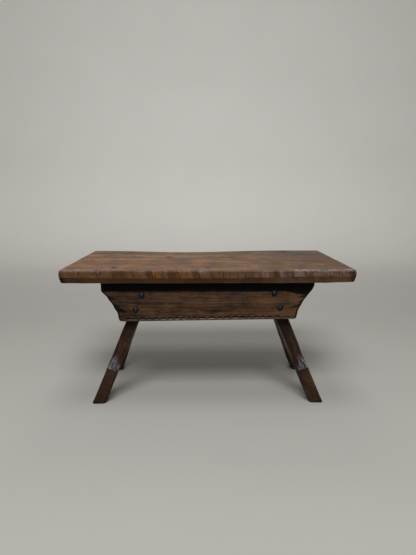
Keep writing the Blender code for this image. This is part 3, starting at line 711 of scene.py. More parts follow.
def build_apron(row, facing, look, seed):
    levels = np.concatenate([np.linspace(0, 0.855, 46), np.linspace(0.855, 1, 28)[1:]])[:, None]
    loops, kinds = apron_loops(levels, np.linspace(-1, 1, 391), seed + 6)
    on_face, on_chamfer, on_side = (kinds == kind for kind in ("face", "chamfer", "side"))
    outside = on_face | on_chamfer
    X, Y, Z = np.moveaxis(loops, 2, 0)
    above_foot = Z - APRON_LOWER_Z - edge_rise(X)
    coarse, fine = Noise(seed), Noise(seed + 1)
    wave = coarse.fractal(X * 11, Z * 30, Y * 5)
    ridge = fine.fractal(X * 12, Z * 300, Y * 10)
    strokes = Strokes(-APRON_TOP_HALF, APRON_TOP_HALF, FACE_STROKES, seed + 2)
    stroke_depth, stroke_tone = strokes.at(X + 0.5 * (Z - APRON_LOWER_Z))
    scoop_depth, scoop_tone = Strokes(0, 1, SCOOP_STROKES, seed + 3, 1).at(levels)

    # Waves and grain, broad strokes on the face and short scoops across the chamfers of the ends
    depth = (0.49 + 0.25 * wave + 0.14 * ridge) * MM
    depth += on_face * 0.3 * stroke_depth * MM + on_chamfer * 1.1 * scoop_depth * MM
    depth = np.where(on_side, 0.15 * depth - APRON_END_PROUD, depth)

    # Gouged notches and scars, a lower edge that is worn round and a slightly worn upper one
    cuts, cut_rise, cut_highlight = notch_field(X, above_foot, seed + 4)
    notches = on_face * cuts
    scars = outside * apron_scars(X, Z)
    depth += notches + SCAR_DEPTH * scars
    depth += LOWER_EDGE_WEAR * fade(above_foot, 0, 1.6) ** 2
    depth += UPPER_EDGE_WEAR * fade(levels * APRON_HEIGHT, 0, 1.2)
    normals, _ = loop_normals(loops)
    normals[[0, -1]] = normals[[1, -2]]
    normals[:, on_face] = (0, -1, 0)
    loops = moved(loops, normals, depth)
    for _, nail_row, _, nail_x, nail_z, _ in nail_places():
        if nail_row == row:
            away = np.hypot(X - nail_x, Z - nail_z)
            loops[..., 1] += on_face * NAIL_SEAT_DEPTH * fade(away, 6, 5)

    # Painted shade: the seat's shadow as a near-black band along the top of the face, with a little grime;
    # the chamfers darker the deeper they are cut, and dark scars
    grime_line = SHADE_BAND_DEPTH + SHADE_BAND_WANDER * coarse(X * 30) + SHADE_BAND_RIGHT * ease(X, 185, 60)
    grime = smooth((grime_line - CARRIED_Z + Z) / SHADE_BAND_SOFTNESS + 0.5)
    broken = on_chamfer * 0.85 * smooth(
        2.2 * np.clip((Y + APRON_FACE_Y) / APRON_CHAMFER_DEPTH, 0, 1) - 0.9 + 0.7 * scoop_tone)
    in_cut = notches > 0
    # Painted shade on the upper walls of the notches, and a painted highlight on their sloping floors
    shaded_cut_wall = in_cut * smooth((cut_rise - 0.38) / 0.12)
    lit_cut_floor = in_cut * smooth((0.46 - cut_rise) / 0.1) * smooth((cut_rise - 0.08) / 0.16)
    grime = np.maximum.reduce([grime, broken, np.minimum(1.3 * scars, 0.92), 0.97 * shaded_cut_wall])
    rib = (above_foot < NOTCH_LIP + NOTCH_HEIGHT) & (notches < RIB_SINK)
    wear = np.maximum(0.6 * fade(above_foot, 1.0, 3.2), 0.35 * (rib & on_face))
    wear = np.maximum(wear, 0.55 * ease(X, 40, 130) * smooth(0.6 + wave))
    drift = 0.5 * ease(X, 60, 150) - 0.2 * ease(-X, 60, 120)
    blotch = fine.fractal(X * 26, Z * 85, 4)
    face_tone = 0.2 * stroke_tone + 0.35 * wave + 0.7 * blotch + drift
    if facing > 0:
        loops[..., :2] *= -1
    node = row + "_apron"
    add_piece(
        node + "_board", node, look, loops, 8, np.eye(3)[[0, 2, 1]], (0, 0, CARRIED_Z), seed,
        wear=outside * wear * (1 - shaded_cut_wall),
        tone=np.where(on_chamfer, 0.6 * scoop_tone, face_tone),
        grime=np.where(outside, grime, 0.6),
        patch=lit_cut_floor * cut_highlight * (1 - 0.35 * ease(X, 20, 90)),
    )


# Legs

# Where the painted sheen on the inner sides of the legs begins, above the foot (mm)
SHEEN_START = {"front": 128.0, "back": 58.0}
RIGHT_LEG_SPREAD = 2.4 * MM
RIGHT_LEG_HOLLOW = {"front": 1.8 * MM, "back": 0.0}
FOOT_ROUNDING = 1.0 * MM
FOOT_ROUNDING_HEIGHT = 2.4 * MM
SHEEN_HEIGHT = 48.0 * MM
# How far under the apron's edge the warm stretch lies, and half its length
GLOW_DROP = 68.0 * MM
GLOW_REACH = 34.0 * MM
LEG_STROKES = (30, 85)


def leaned(lean):
    """Turn of a piece whose own Z leans this far along X."""
    return np.array(Matrix.Rotation(lean, 3, "Y"))


def level(height, lean, across):
    """Where a level cut at this height meets a leaning piece, along it from the aprons' lower edge."""
    return (height - APRON_LOWER_Z + across * math.sin(lean)) / math.cos(lean)


def leg_sections(a, b, c):
    """Sections of a leg of half widths a, half depths b and chamfers c, and which points are on chamfers."""
    side = np.linspace(0, 1, 7)[:-1]
    chamfer = np.linspace(0, 1, 6)[:-1]
    face = np.linspace(-1, 1, 19)
    x = np.concatenate([a + 0 * side, a - c * chamfer], axis=1)
    y = np.concatenate([(b - c) * side, b - c + c * chamfer], axis=1)
    xs = np.concatenate([-x, face * (a - c), x[:, ::-1]], axis=1)
    ys = np.concatenate([-y, 0 * face - b, -y[:, ::-1]], axis=1)
    kinds = mirrored([False] * len(side), [True] * len(chamfer), [False] * len(face))
    return closed_loop(xs, xs), closed_loop(ys, -ys), closed_loop(kinds[None], kinds[None])


def build_leg(row, facing, end, side, look, seed):
    lean = -side * SPLAYS[row]
    turn = leaned(lean)
    shares = np.concatenate([[0, 0.0022, 0.005], np.linspace(0.010, 0.995, 172), [1.0]])[:, None]
    foot_middle, top_middle = level(0, lean, 0), level(CARRIED_Z, lean, 0)
    from_foot = shares * (top_middle - foot_middle)
    past_shoulder = from_foot - SHOULDER_HEIGHT
    coarse, fine = Noise(seed), Noise(seed + 1)

    # A plain foot, a low shoulder and a slight swell over it
    bulge = smooth(1 - past_shoulder / SWELL_LENGTH)
    above = ease(past_shoulder, -2, 4)
    below = np.clip(from_foot / SHOULDER_HEIGHT, 0, 1)

    def half_size(leg, foot):
        lower = foot / 2 * (1 - below) + (leg / 2 + SHOULDER_SWELL - SHOULDER_STEP) * below
        upper = leg / 2 + SHOULDER_SWELL * bulge
        rounding = FOOT_ROUNDING * (1 - arc(from_foot / FOOT_ROUNDING_HEIGHT))
        return above * upper + (1 - above) * lower - rounding

    half_a, half_b = half_size(LEG_WIDTH, FOOT_WIDTH), half_size(LEG_DEPTH, FOOT_DEPTH)
    chamfer = LEG_CHAMFER * (0.95 + 0.22 * coarse((foot_middle + from_foot) * 18))
    a, b, on_chamfer = leg_sections(half_a, half_b, chamfer)
    if side > 0:
        # The right legs are hewn wider on the inner side, with a shallow hollow outside
        across = a / half_a
        hollow_out = RIGHT_LEG_HOLLOW[row] * ease(past_shoulder, 0, 12) * fade(from_foot, 130, 60)
        a = a - RIGHT_LEG_SPREAD * ease(from_foot, 0, 45) * np.clip(-across, 0, 1)
        a = a - hollow_out * np.clip(across, 0, 1)
    knee = a + side * KNEE_OUTSET * bulge
    low, high = level(0, lean, knee), level(CARRIED_Z, lean, knee)
    s = low + shares * (high - low)
    local = points_at(knee, b, s)

    # Waves, grain and long strokes on each of the eight faces, all weaker at the foot
    up = s - foot_middle
    ridge = fine.fractal(a * 300, b * 300, s * 14)
    wave = coarse.fractal(a * 30, b * 30, s * 16)
    depth = (0.42 + 0.12 * ridge + 0.25 * wave) * MM
    tone = 0.6 * wave
    octants = np.floor(np.arctan2(b, a) / (TAU / 8) + 0.5)
    for octant in range(-4, 5):
        strokes = Strokes(foot_middle, top_middle, LEG_STROKES, seed + 20 + octant)
        stroke_depth, stroke_tone = strokes.at(s)
        depth += (octants == octant) * 0.55 * stroke_depth * MM
        tone += (octants == octant) * 0.2 * stroke_tone
    depth *= 1 - 0.6 * fade(up, 0, 6)
    normals, _ = loop_normals(local)
    normals[[0, -1]] = normals[[1, -2]]
    normals[..., 2] *= (shares >= 0.02) & (shares <= 0.99)

    # Painted grey sheen above the shoulder, on rubbed, waxed wood, mostly on the outer half of the outward
    # face
    outward = side * a / half_a
    outer = smooth((outward + 0.35) / 0.5)
    facing_out = smooth((facing * b / half_b - 0.6) / 0.3)
    rise = (up - SHOULDER_HEIGHT) / SHEEN_HEIGHT
    band = smooth(rise * 30 + 0.5) * smooth((1.05 - rise) / 0.7)
    streak = fine.fractal(a * 190, b * 190, s * 48)
    reach_in = outer + (1 - outer) * smooth((0.62 - rise) / 0.4) * 0.75
    patch = band * facing_out * reach_in * np.clip(0.56 + 1.1 * streak, 0.15, 1)

    # Warmer wood behind the lower nails, and on the right legs a warm foot and a darker upper part
    tone += facing_out * 0.45 * smooth(1 - np.abs(s + GLOW_DROP) / GLOW_REACH)
    if side > 0:
        tone += facing_out * ease(SHOULDER_HEIGHT - up, 0, 6) * (0.6 + 0.5 * wave)
        tone -= 0.6 * ease(up - SHOULDER_HEIGHT, 40, 60)
    # Painted reflection: the inner sides are paler, as if they caught a sheen of the bright floor, and on
    # the back legs so is the inner half of the face towards the front, which stands in shade
    inner_sheen = smooth((-outward - 0.8) / 0.15)
    if row == "back":
        inner_sheen = np.maximum(inner_sheen, smooth((0.1 - outward) / 0.25) * (b < 0))
    inner_sheen = 0.5 * inner_sheen * ease(up, SHEEN_START[row], 30)
    apron_shade = np.maximum(ease(s, -9, 12), 0.5 * ease(s, -48, 44))
    place = (side * LEAN_X[row], facing * LEG_MIDDLE_Y, APRON_LOWER_Z)
    loops = moved(local, normals, depth) @ turn.T + place
    loops[..., 2] = np.clip(loops[..., 2], 0, CARRIED_Z)
    node = f"{row}_{end}_leg"
    add_piece(
        node + "_post", node, look, loops, 6, turn.T[[2, 0, 1]], place, seed,
        wear=np.clip(on_chamfer * (0.0375 + 0.05 * wave) * ease(up, 0, 30) + inner_sheen, 0, 1),
        tone=tone,
        grime=np.clip(0.7 * fade(up, 0, 5) + 0.85 * apron_shade * (1 - inner_sheen), 0, 1),
        patch=np.clip(patch, 0, 1),
    )


# Cross rails and pegs

RAIL_SPLAY = (SPLAYS["front"] + SPLAYS["back"]) / 2
RAIL_TENON_X = (leg_x("front", TENON_Z) + leg_x("back", TENON_Z)) / 2
RAIL_LEAN_X = RAIL_TENON_X + (TENON_Z - APRON_LOWER_Z) * math.tan(RAIL_SPLAY)
RAIL_SKEW = (leg_x("back", TENON_Z) - leg_x("front", TENON_Z)) / (2 * LEG_MIDDLE_Y)
RAIL_THICKNESS = 20.0 * MM
RAIL_LOWER_SHOULDER = 5.0 * MM
TENON_THICKNESS = 9.0 * MM
TENON_HEIGHT = 20.0 * MM
SAW_REACH = 200.0 * MM
SAW_STROKES = (2.5, 5.0)
PEG_DIAMETER = 7.0 * MM
PEG_PROUD = 1.2 * MM
PEG_SQUARENESS = 2.6
PEG_ROUGHNESS = 0.25 * MM
# The end of a peg: shares of its half width and of its half length
PEG_END = ((1, 0.9), (0.95, 0.95), (0.72, 0.985), (0.35, 1))


def build_rail(end, side, look, seed):
    lean = -side * RAIL_SPLAY
    turn = leaned(lean)
    middle = (TENON_Z - APRON_LOWER_Z) / math.cos(RAIL_SPLAY)
    inner, tip = LEG_INNER_Y - FIT_GAP, LEG_INNER_Y + TENON_LENGTH
    body = np.linspace(-1, 1, 70) * inner
    y = np.concatenate([[-tip, -inner], body, [inner, tip]])[:, None]
    tenon = mirrored([True, True], [False] * len(body))[:, None]
    out = np.where(tenon, TENON_THICKNESS, RAIL_THICKNESS) / 2 * mirrored([0.0], np.full(30, -1.0))
    upward = np.concatenate([[0.0], np.linspace(0, 1, 30), [1.0]])[None]
    a = closed_loop(out, -out)
    low = np.where(tenon, middle - TENON_HEIGHT / 2, middle - TENON_HEIGHT / 2 - RAIL_LOWER_SHOULDER)
    high = np.where(tenon, middle + TENON_HEIGHT / 2, level(CARRIED_Z, lean, a))
    s = low + (high - low) * closed_loop(upward, upward)
    local = points_at(a, y, s)
    wave = Noise(seed).fractal(a * 20, y * 18, s * 40)
    saw_depth, _ = Strokes(-SAW_REACH, SAW_REACH, SAW_STROKES, seed + 2).at(y + 0.25 * s)
    depth = (0.25 + 0.2 * wave + 0.25 * saw_depth) * MM * ~tenon
    normals, _ = loop_normals(local)
    normals[..., 1] = 0
    place = (side * RAIL_LEAN_X, 0, APRON_LOWER_Z)
    loops = moved(local, normals, depth) @ turn.T + place
    loops[..., 0] += side * RAIL_SKEW * loops[..., 1]
    loops[..., 2] = np.clip(loops[..., 2], 0, CARRIED_Z)
    node = f"{end}_cross_rail"
    add_piece(node + "_board", node, look, loops, 2, turn.T[[1, 2, 0]], place, seed,
              tone=0.5 * wave, grime=0.35)


def pin_loops(stages, points, noise, rough):
    """Loops of a headed pin along Z. A stage is (half width, height, squareness power)."""
    turns = np.arange(points) / points * TAU
    half, z, power = np.array(stages, dtype=float).T[..., None]
    radius = half * (np.abs(np.cos(turns)) ** power + np.abs(np.sin(turns)) ** power) ** (-1 / power)
    loops = points_at(radius * np.cos(turns), radius * np.sin(turns), z)
    bump = noise.fractal(*np.moveaxis(loops * 260, 2, 0))
    return moved(loops, loop_normals(loops)[0], rough * (0.5 + 0.5 * bump))


def build_peg(row, facing, end, side, look, seed):
    shape = [(wide, -along) for wide, along in PEG_END[::-1]]
    shape += [(1, along) for along in np.linspace(-0.8, 0.8, 9)]
    shape += PEG_END
    half_width, half_length = PEG_DIAMETER / 2, LEG_WIDTH / 2 + PEG_PROUD
    stages = [(half_width * wide, half_length * along, PEG_SQUARENESS) for wide, along in shape]
    local = pin_loops(stages, 24, Noise(seed), PEG_ROUGHNESS)
    turn = leaned(math.pi / 2 - side * SPLAYS[row])
    place = (side * leg_x(row, TENON_Z), facing * (LEG_INNER_Y + TENON_LENGTH / 2), TENON_Z)
    node = f"{row}_{end}_rail_peg"
    add_piece(node + "_pin", node, look, local @ turn.T + place, 4, turn.T[[2, 0, 1]], place, seed,
              wear=0.2, tone=-0.4, grime=0.35)


# Nails

NAIL_HALF = 6.75 * MM
NAIL_SHANK_HALF = 3.0 * MM
NAIL_TIP_HALF = 1.5 * MM
NAIL_BITE = 24.0 * MM
NAIL_HEAD_HEIGHT = 4.5 * MM
NAIL_ROUGHNESS = 0.32 * MM
# The rim of a nail's head: share of its half width, height (mm) and squareness
NAIL_RIM = ((0.9, 0.1, 5), (0.985, 0.35, 5.5), (1, 0.8, 6), (0.97, 1.3, 6))
SEAT_NAIL_HALF = 6.5 * MM
SEAT_NAIL_TIP_HALF = 1.25 * MM
SEAT_NAIL_BITE = 34.0 * MM
SEAT_HEAD_THICKNESS = 2.2 * MM
SEAT_HEAD_CROWN = 0.42 * MM
SEAT_NAIL_ROUGHNESS = 0.28 * MM
SEAT_NAIL_SQUARENESS = 2.4
# The side of a seat nail's head: share of its half width, and height (mm)
SEAT_NAIL_RIM = ((0.93, -2.2), (1, -1.2), (0.985, -0.5))


def build_apron_nail(node, facing, x, z, spin, look, seed):
    """A forged nail with a four-faced hammered head."""
    length = APRON_THICKNESS + NAIL_BITE
    rng = np.random.default_rng(seed)
    tall = NAIL_HEAD_HEIGHT * rng.uniform(0.9, 1.0)
    crown = rng.uniform(0.16, 0.3)
    stages = [(NAIL_TIP_HALF * 0.4, -length, 6), (NAIL_TIP_HALF, -length * 0.97, 6)]
    for q in (0.3, 0.6, 0.98):
        stages.append((NAIL_TIP_HALF + (NAIL_SHANK_HALF - NAIL_TIP_HALF) * q, -length * (1 - q), 6))
    stages += [(NAIL_HALF * wide, height * MM, power) for wide, height, power in NAIL_RIM]
    rim_wide, rim_high, _ = NAIL_RIM[-1]
    for q in np.linspace(0.1, 1, 9):
        half = NAIL_HALF * (rim_wide * (1 - q) + crown * q)
        stages.append((half, rim_high * MM + (tall - rim_high * MM) * q ** 0.92, 6 - 2.5 * q))
    stages.append((NAIL_HALF * crown * 0.5, tall, 3))
    local = pin_loops(stages, 56, Noise(seed), NAIL_ROUGHNESS)
    shear = rng.uniform(-0.09, 0.09, 2)
    local[..., :2] += np.clip(local[..., 2:], 0, None) * shear
    spin += rng.uniform(-0.09, 0.09)
    turn = np.array(Matrix.Rotation(-facing * math.pi / 2, 3, "X") @ Matrix.Rotation(spin, 3, "Z"))
    place = (x, facing * APRON_FACE_Y, z)
    add_piece(node + "_forged", node, look, local @ turn.T + place, 6, np.eye(3), place, seed,
              wear=ease(local[..., 2], 2.6, 1.8), grime=fade(local[..., 2], 0, 1.5))


def build_seat_nail(node, x, y, look, seed):
    """A nail whose broad flat head is hammered flush with the seat."""
    top = SEAT_TOP_Z - float(hollow(x, y)) - SEAT_NAIL_SINK
    length = top - CARRIED_Z + SEAT_NAIL_BITE
    rng = np.random.default_rng(seed)
    stages = [(SEAT_NAIL_TIP_HALF * 0.4, -length, 5), (SEAT_NAIL_TIP_HALF, -length * 0.98, 5),
              (2 * SEAT_NAIL_TIP_HALF, -SEAT_HEAD_THICKNESS * 1.05, 5)]
    head = [(wide, height * MM) for wide, height in SEAT_NAIL_RIM]
    head += [(q, -SEAT_HEAD_CROWN * q) for q in (0.93, 0.82, 0.68, 0.52, 0.36, 0.2)]
    stages += [(SEAT_NAIL_HALF * wide, height, SEAT_NAIL_SQUARENESS) for wide, height in head]
    local = pin_loops(stages, 48, Noise(seed), SEAT_NAIL_ROUGHNESS)
    local[..., :2] *= 1 - rng.uniform(0, 0.08, 2)
    place = (x, y, top)
    add_piece(node + "_forged", node, look, local + place, 6, np.eye(3), place, seed, wear=0.35, grime=0.3)


# Materials


class Graph:
    """Short calls for building the nodes of a material or a world."""

    def __init__(self, owner):
        owner.use_nodes = True
        self.tree = owner.node_tree

    def fill(self, node, inputs):
        """Link or set the inputs of a node, which are named or numbered."""
        for key, value in inputs.items():
            if isinstance(value, bpy.types.NodeSocket):
                self.tree.links.new(value, node.inputs[key])
            else:
                node.inputs[key].default_value = value

    def node(self, kind, inputs, **settings):
        made = self.tree.nodes.new(kind)
        for key, value in settings.items():
            setattr(made, key, value)
        self.fill(made, inputs)
        return made

    def math(self, operation, *values, clamp=False):
        inputs = dict(enumerate(values))
        return self.node("ShaderNodeMath", inputs, operation=operation, use_clamp=clamp).outputs[0]

    def times(self, a, b):
        return self.math("MULTIPLY", a, b)

    def add(self, start, value, factor, clamp=False):
        """The start with a factor times the value added to it."""
        return self.math("MULTIPLY_ADD", value, factor, start, clamp=clamp)

    def attribute(self, name, output="Fac"):
        return self.node("ShaderNodeAttribute", {}, attribute_name=name).outputs[output]

    def vector(self, operation, a, b):
        return self.node("ShaderNodeVectorMath", {0: a, 1: b}, operation=operation).outputs[0]

    def noise(self, vector, stretch, detail, rough, distortion=0.0, output="Fac"):
        inputs = {"Vector": self.vector("MULTIPLY", vector, stretch), "Scale": 1.0, "Detail": detail,
                  "Roughness": rough, "Distortion": distortion}
        return self.node("ShaderNodeTexNoise", inputs).outputs[output]

    def ramp(self, value, low, high):
        """From 0 at low to 1 at high, with soft ends."""
        inputs = {"Value": value, "From Min": low, "From Max": high}
        return self.node("ShaderNodeMapRange", inputs, interpolation_type="SMOOTHSTEP").outputs["Result"]

    def mix(self, share, a, b):
        a, b = (c if isinstance(c, bpy.types.NodeSocket) else (*c, 1.0) for c in (a, b))
        made = self.node("ShaderNodeMix", {}, data_type="RGBA", clamp_factor=True)
        self.fill(made, {0: share, 6: a, 7: b})
        return made.outputs[2]

    def tint(self, base, layers, colours):
        """The base colour under layers of others: value, ends of its ramp, greatest share and colour."""
        for value, low, high, share, colour in layers:
            base = self.mix(self.times(self.ramp(value, low, high), share), base, colours[colour])
        return base

    def relief(self, height, strength, distance):
        inputs = {"Strength": strength, "Distance": distance, "Height": height}
        return self.node("ShaderNodeBump", inputs).outputs[0]

    def finish(self, inputs):
        self.fill(self.tree.nodes["Principled BSDF"], inputs)


def oak_material(name, colours, edge, roughness, gloss, ring_width, pith, mottling):
    """Solid oak: growth rings round a pith beside the piece, pores, scratches, marks and painted sheen in
    patches, rubbed places with painted highlights, soil with painted shade. edge holds the colours of its
    hewn edges."""
    material = bpy.data.materials.new(name)
    g = Graph(material)
    grain = g.attribute("grain", "Vector")
    warp = g.noise(grain, (3.0, 14.0, 14.0), 2.0, 0.5, output="Color")
    bend = g.vector("MULTIPLY", g.vector("SUBTRACT", warp, (0.5, 0.5, 0.5)), (0.0, 0.016, 0.016))
    bent = g.vector("ADD", grain, bend)
    parts = g.node("ShaderNodeSeparateXYZ", {0: bent}).outputs
    away_a = g.math("SUBTRACT", parts[1], pith[0])
    away_b = g.math("SUBTRACT", parts[2], pith[1])
    radius = g.math("SQRT", g.math("ADD", g.times(away_a, away_a), g.times(away_b, away_b)))
    ring = g.math("FRACT", g.math("DIVIDE", radius, ring_width))
    early = g.times(g.ramp(ring, 0.0, 0.12), g.ramp(ring, 0.52, 0.16))

    # Noises, each with its stretch along and across the grain, its detail and its roughness
    pores = g.noise(grain, (55.0, 1500.0, 1500.0), 2.0, 0.6)
    fibre = g.noise(grain, (14.0, 520.0, 520.0), 4.0, 0.6)
    streak = g.noise(bent, (4.0, 110.0, 110.0), 5.0, 0.62)
    broad = g.noise(bent, (2.2, 26.0, 26.0), 3.0, 0.6)
    dash = g.noise(grain, (42.0, 250.0, 250.0), 2.0, 0.5)
    cloud = g.noise(grain, (12.0, 34.0, 34.0), 3.0, 0.55)
    figure = g.noise(bent, (11.0, 26.0, 26.0), 4.0, 0.62)
    mottle = g.noise(grain, (52.0, 60.0, 60.0), 5.0, 0.68, 0.3)
    speck = g.noise(grain, (160.0, 320.0, 320.0), 3.0, 0.6)
    hewn = g.noise(grain, (78.0, 45.0, 52.0), 4.0, 0.64)
    hewn_grey = g.noise(grain, (55.0, 40.0, 42.0), 4.0, 0.62)
    scratch = g.noise(grain, (420.0, 150.0, 40.0), 3.0, 0.6)
    pore = g.times(g.ramp(pores, 0.60, 0.70), g.add(0.25, early, 0.75))
    blaze, facet, dirt_and_shade, patch, tone, wear = (g.attribute(channel) for channel in CHANNELS)

    colour = g.mix(g.ramp(streak, 0.32, 0.68), colours["dark"], colours["middle"])
    colour = g.tint(colour, (
        (broad, 0.44, 0.66, 0.75, "light"), (fibre, 0.48, 0.74, 0.6, "light"),
        (dash, 0.60, 0.72, 0.55, "warm"), (dash, 0.40, 0.29, 0.6, "dark"),
        (cloud, 0.50, 0.70, 0.4, "warm"), (cloud, 0.46, 0.30, 0.4, "grey"),
        (figure, 0.50, 0.64, 0.38, "light"), (figure, 0.48, 0.36, 0.38, "dark"),
        (mottle, 0.47, 0.34, mottling, "dark"), (mottle, 0.53, 0.66, mottling, "light"),
    ), colours)
    colour = g.mix(g.times(early, 0.4), colour, colours["dark"])

    # Hewn edges: small upright patches where the blade caught, over a darker colour
    hacked = g.tint(edge["middle"], (
        (g.add(hewn, blaze, 0.15), 0.56, 0.72, 0.85, "warm"),
        (g.add(hewn_grey, blaze, -0.15), 0.57, 0.72, 0.85, "grey"),
        (g.add(scratch, tone, 0.11), 0.48, 0.35, 0.7, "dark"),
        (fibre, 0.46, 0.30, 0.5, "dark"),
    ), edge)
    colour = g.mix(facet, colour, hacked)
    colour = g.tint(colour, ((tone, 0.05, 1.3, 0.6, "warm"), (tone, -0.1, -0.95, 0.55, "dark")), colours)

    # Rubbed places and painted highlights, pores, the marks and the painted sheen of the patches,
    # and grime and painted shade over all
    specked = g.ramp(speck, 0.3, 0.6)
    colour = g.mix(g.times(g.times(wear, specked), 0.8), colour, colours["worn"])
    colour = g.mix(g.times(pore, 0.75), colour, colours["grime"])
    grained = g.times(g.times(patch, g.ramp(streak, 0.30, 0.62)), 0.95)
    colour = g.tint(colour, ((g.add(grained, patch, 0.45), 0.03, 0.3, 0.7, "haze_and_sheen"),), colours)
    mark_and_sheen_share = g.times(g.ramp(patch, 0.1, 1.0), specked)
    colour = g.mix(g.times(mark_and_sheen_share, 0.95), colour, colours["mark_and_sheen"])
    dirt_and_shade_share = g.math("MULTIPLY", dirt_and_shade, g.add(0.75, streak, 0.5), clamp=True)
    colour = g.mix(dirt_and_shade_share, colour, colours["grime"])

    rough = g.add(roughness, g.math("SUBTRACT", cloud, 0.5), 0.35)
    rough = g.add(rough, g.math("SUBTRACT", fibre, 0.5), 0.25)
    rough = g.add(g.add(rough, pore, 0.25), wear, -0.10)
    relief = g.add(g.add(g.times(streak, 0.5), fibre, 0.5), pore, -0.9)
    relief = g.add(g.add(relief, early, -0.25), speck, 0.2)
    relief = g.add(relief, g.times(facet, scratch), 0.9)
    g.finish({
        "Base Color": colour,
        "Roughness": g.add(rough, dirt_and_shade, 0.22, clamp=True),
        "IOR": 1.5,
        "Specular IOR Level": gloss,
        "Normal": g.relief(relief, 0.55, 0.00035),
    })
    return material


def iron_material(colours):
    """Blue-black forged iron with scale, rubbed crowns and a little rust in the low places."""
    material = bpy.data.materials.new("forged_iron")
    g = Graph(material)
    grain = g.attribute("grain", "Vector")
    scale = g.noise(grain, (900.0, 900.0, 900.0), 4.0, 0.6)
    blotch = g.noise(grain, (260.0, 260.0, 260.0), 3.0, 0.55)
    colour = g.mix(g.ramp(blotch, 0.35, 0.7), colours["dark"], colours["light"])
    colour = g.mix(g.times(g.attribute("wear"), g.ramp(scale, 0.3, 0.6)), colour, colours["worn"])
    rust = g.times(g.ramp(scale, 0.52, 0.75), g.add(0.15, g.attribute("grime"), 0.6))
    g.finish({
        "Base Color": g.mix(rust, colour, colours["rust"]),
        "Roughness": g.add(0.28, scale, 0.35),
        "Metallic": 0.55,
        "Specular IOR Level": 0.25,
        "Normal": g.relief(g.math("ADD", scale, blotch), 0.6, 0.0004),
    })
    return material


def stage_material():
    """A pale floor that turns paler towards the wall."""
    material = bpy.data.materials.new("studio_sweep")
    g = Graph(material)
    place = g.node("ShaderNodeTexCoord", {}).outputs["Object"]
    back = g.node("ShaderNodeSeparateXYZ", {0: place}).outputs[1]
    mottle = g.noise(place, (3.0, 3.0, 3.0), 4.0, 0.6)
    shade = g.mix(g.ramp(back, *WALL_BLEND), FLOOR_COLOUR, WALL_COLOUR)
    g.finish({"Base Color": g.mix(g.times(mottle, 0.08), shade, FLOOR_MOTTLE), "Roughness": 0.9})
    return material


# Colours of the three oaks, of the seat's hewn edges and of the iron
SEAT_COLOURS = {
    "dark": (0.055, 0.026, 0.012), "middle": (0.150, 0.078, 0.038), "light": (0.220, 0.128, 0.070),
    "warm": (0.200, 0.084, 0.030), "grey": (0.105, 0.080, 0.066), "worn": (0.360, 0.300, 0.310),
    "grime": (0.014, 0.008, 0.004), "mark_and_sheen": (0.012, 0.010, 0.011), "haze_and_sheen": (0.078, 0.056, 0.047),
}
SEAT_EDGE_COLOURS = {
    "dark": (0.016, 0.008, 0.005), "middle": (0.088, 0.045, 0.022), "warm": (0.168, 0.066, 0.017),
    "grey": (0.124, 0.093, 0.085),
}
APRON_COLOURS = {
    "dark": (0.014, 0.007, 0.004), "middle": (0.051, 0.026, 0.014), "light": (0.080, 0.048, 0.030),
    "warm": (0.125, 0.048, 0.016), "grey": (0.044, 0.037, 0.037), "worn": (0.100, 0.058, 0.032),
    "grime": (0.0010, 0.0008, 0.0007), "mark_and_sheen": (0.150, 0.140, 0.126), "haze_and_sheen": (0.040, 0.031, 0.027),
}
LEG_COLOURS = {
    "dark": (0.008, 0.004, 0.002), "middle": (0.024, 0.012, 0.007), "light": (0.043, 0.025, 0.016),
    "warm": (0.078, 0.035, 0.018), "grey": (0.022, 0.018, 0.017), "worn": (0.170, 0.145, 0.118),
    "grime": (0.0010, 0.0008, 0.0007), "mark_and_sheen": (0.190, 0.180, 0.210), "haze_and_sheen": (0.040, 0.037, 0.041),
}
IRON_COLOURS = {
    "dark": (0.002, 0.003, 0.005), "light": (0.007, 0.011, 0.016), "worn": (0.022, 0.036, 0.046),
    "rust": (0.045, 0.020, 0.010),
}


# Stage, light and camera

CAMERA_PLACE = (-0.0118, -1.1332, 0.5420)
CAMERA_PITCH = math.radians(11.463)
CAMERA_YAW = math.radians(-0.685)
CAMERA_ROLL = math.radians(0.009)
PHOTO_HEIGHT = 555
FOCAL_PIXELS = 417
SENSOR = 36.0
FLOOR_COLOUR = (0.335, 0.330, 0.308)
FLOOR_MOTTLE = (0.12, 0.11, 0.09)
WALL_COLOUR = (0.86, 0.85, 0.82)
WALL_BLEND = (0.5, 3.5)
STAGE_HALF_WIDTH = 6.0
STAGE_FRONT = -5.0
STAGE_BACK = 2.6
STAGE_BEND = 0.8
STAGE_BEND_STEPS = 16
WALL_HEIGHT = 5.0
# Lamps, all turned to the stool: name, place, width, depth (m) and power (W)
LAMPS = (
    ("key", (-0.14, -2.05, 2.56), 1.6, 0.9, 88),
    ("overhead", (-0.05, -0.50, 2.70), 0.7, 0.7, 17),
    ("rear", (0.10, 1.30, 2.30), 0.9, 0.7, 6),
)
LAMP_TARGET = (0, 0, 0.2)
WORLD_COLOUR = (1.0, 0.95, 0.88, 1)
WORLD_LIGHT = 0.28
WORLD_SEEN = 0.46


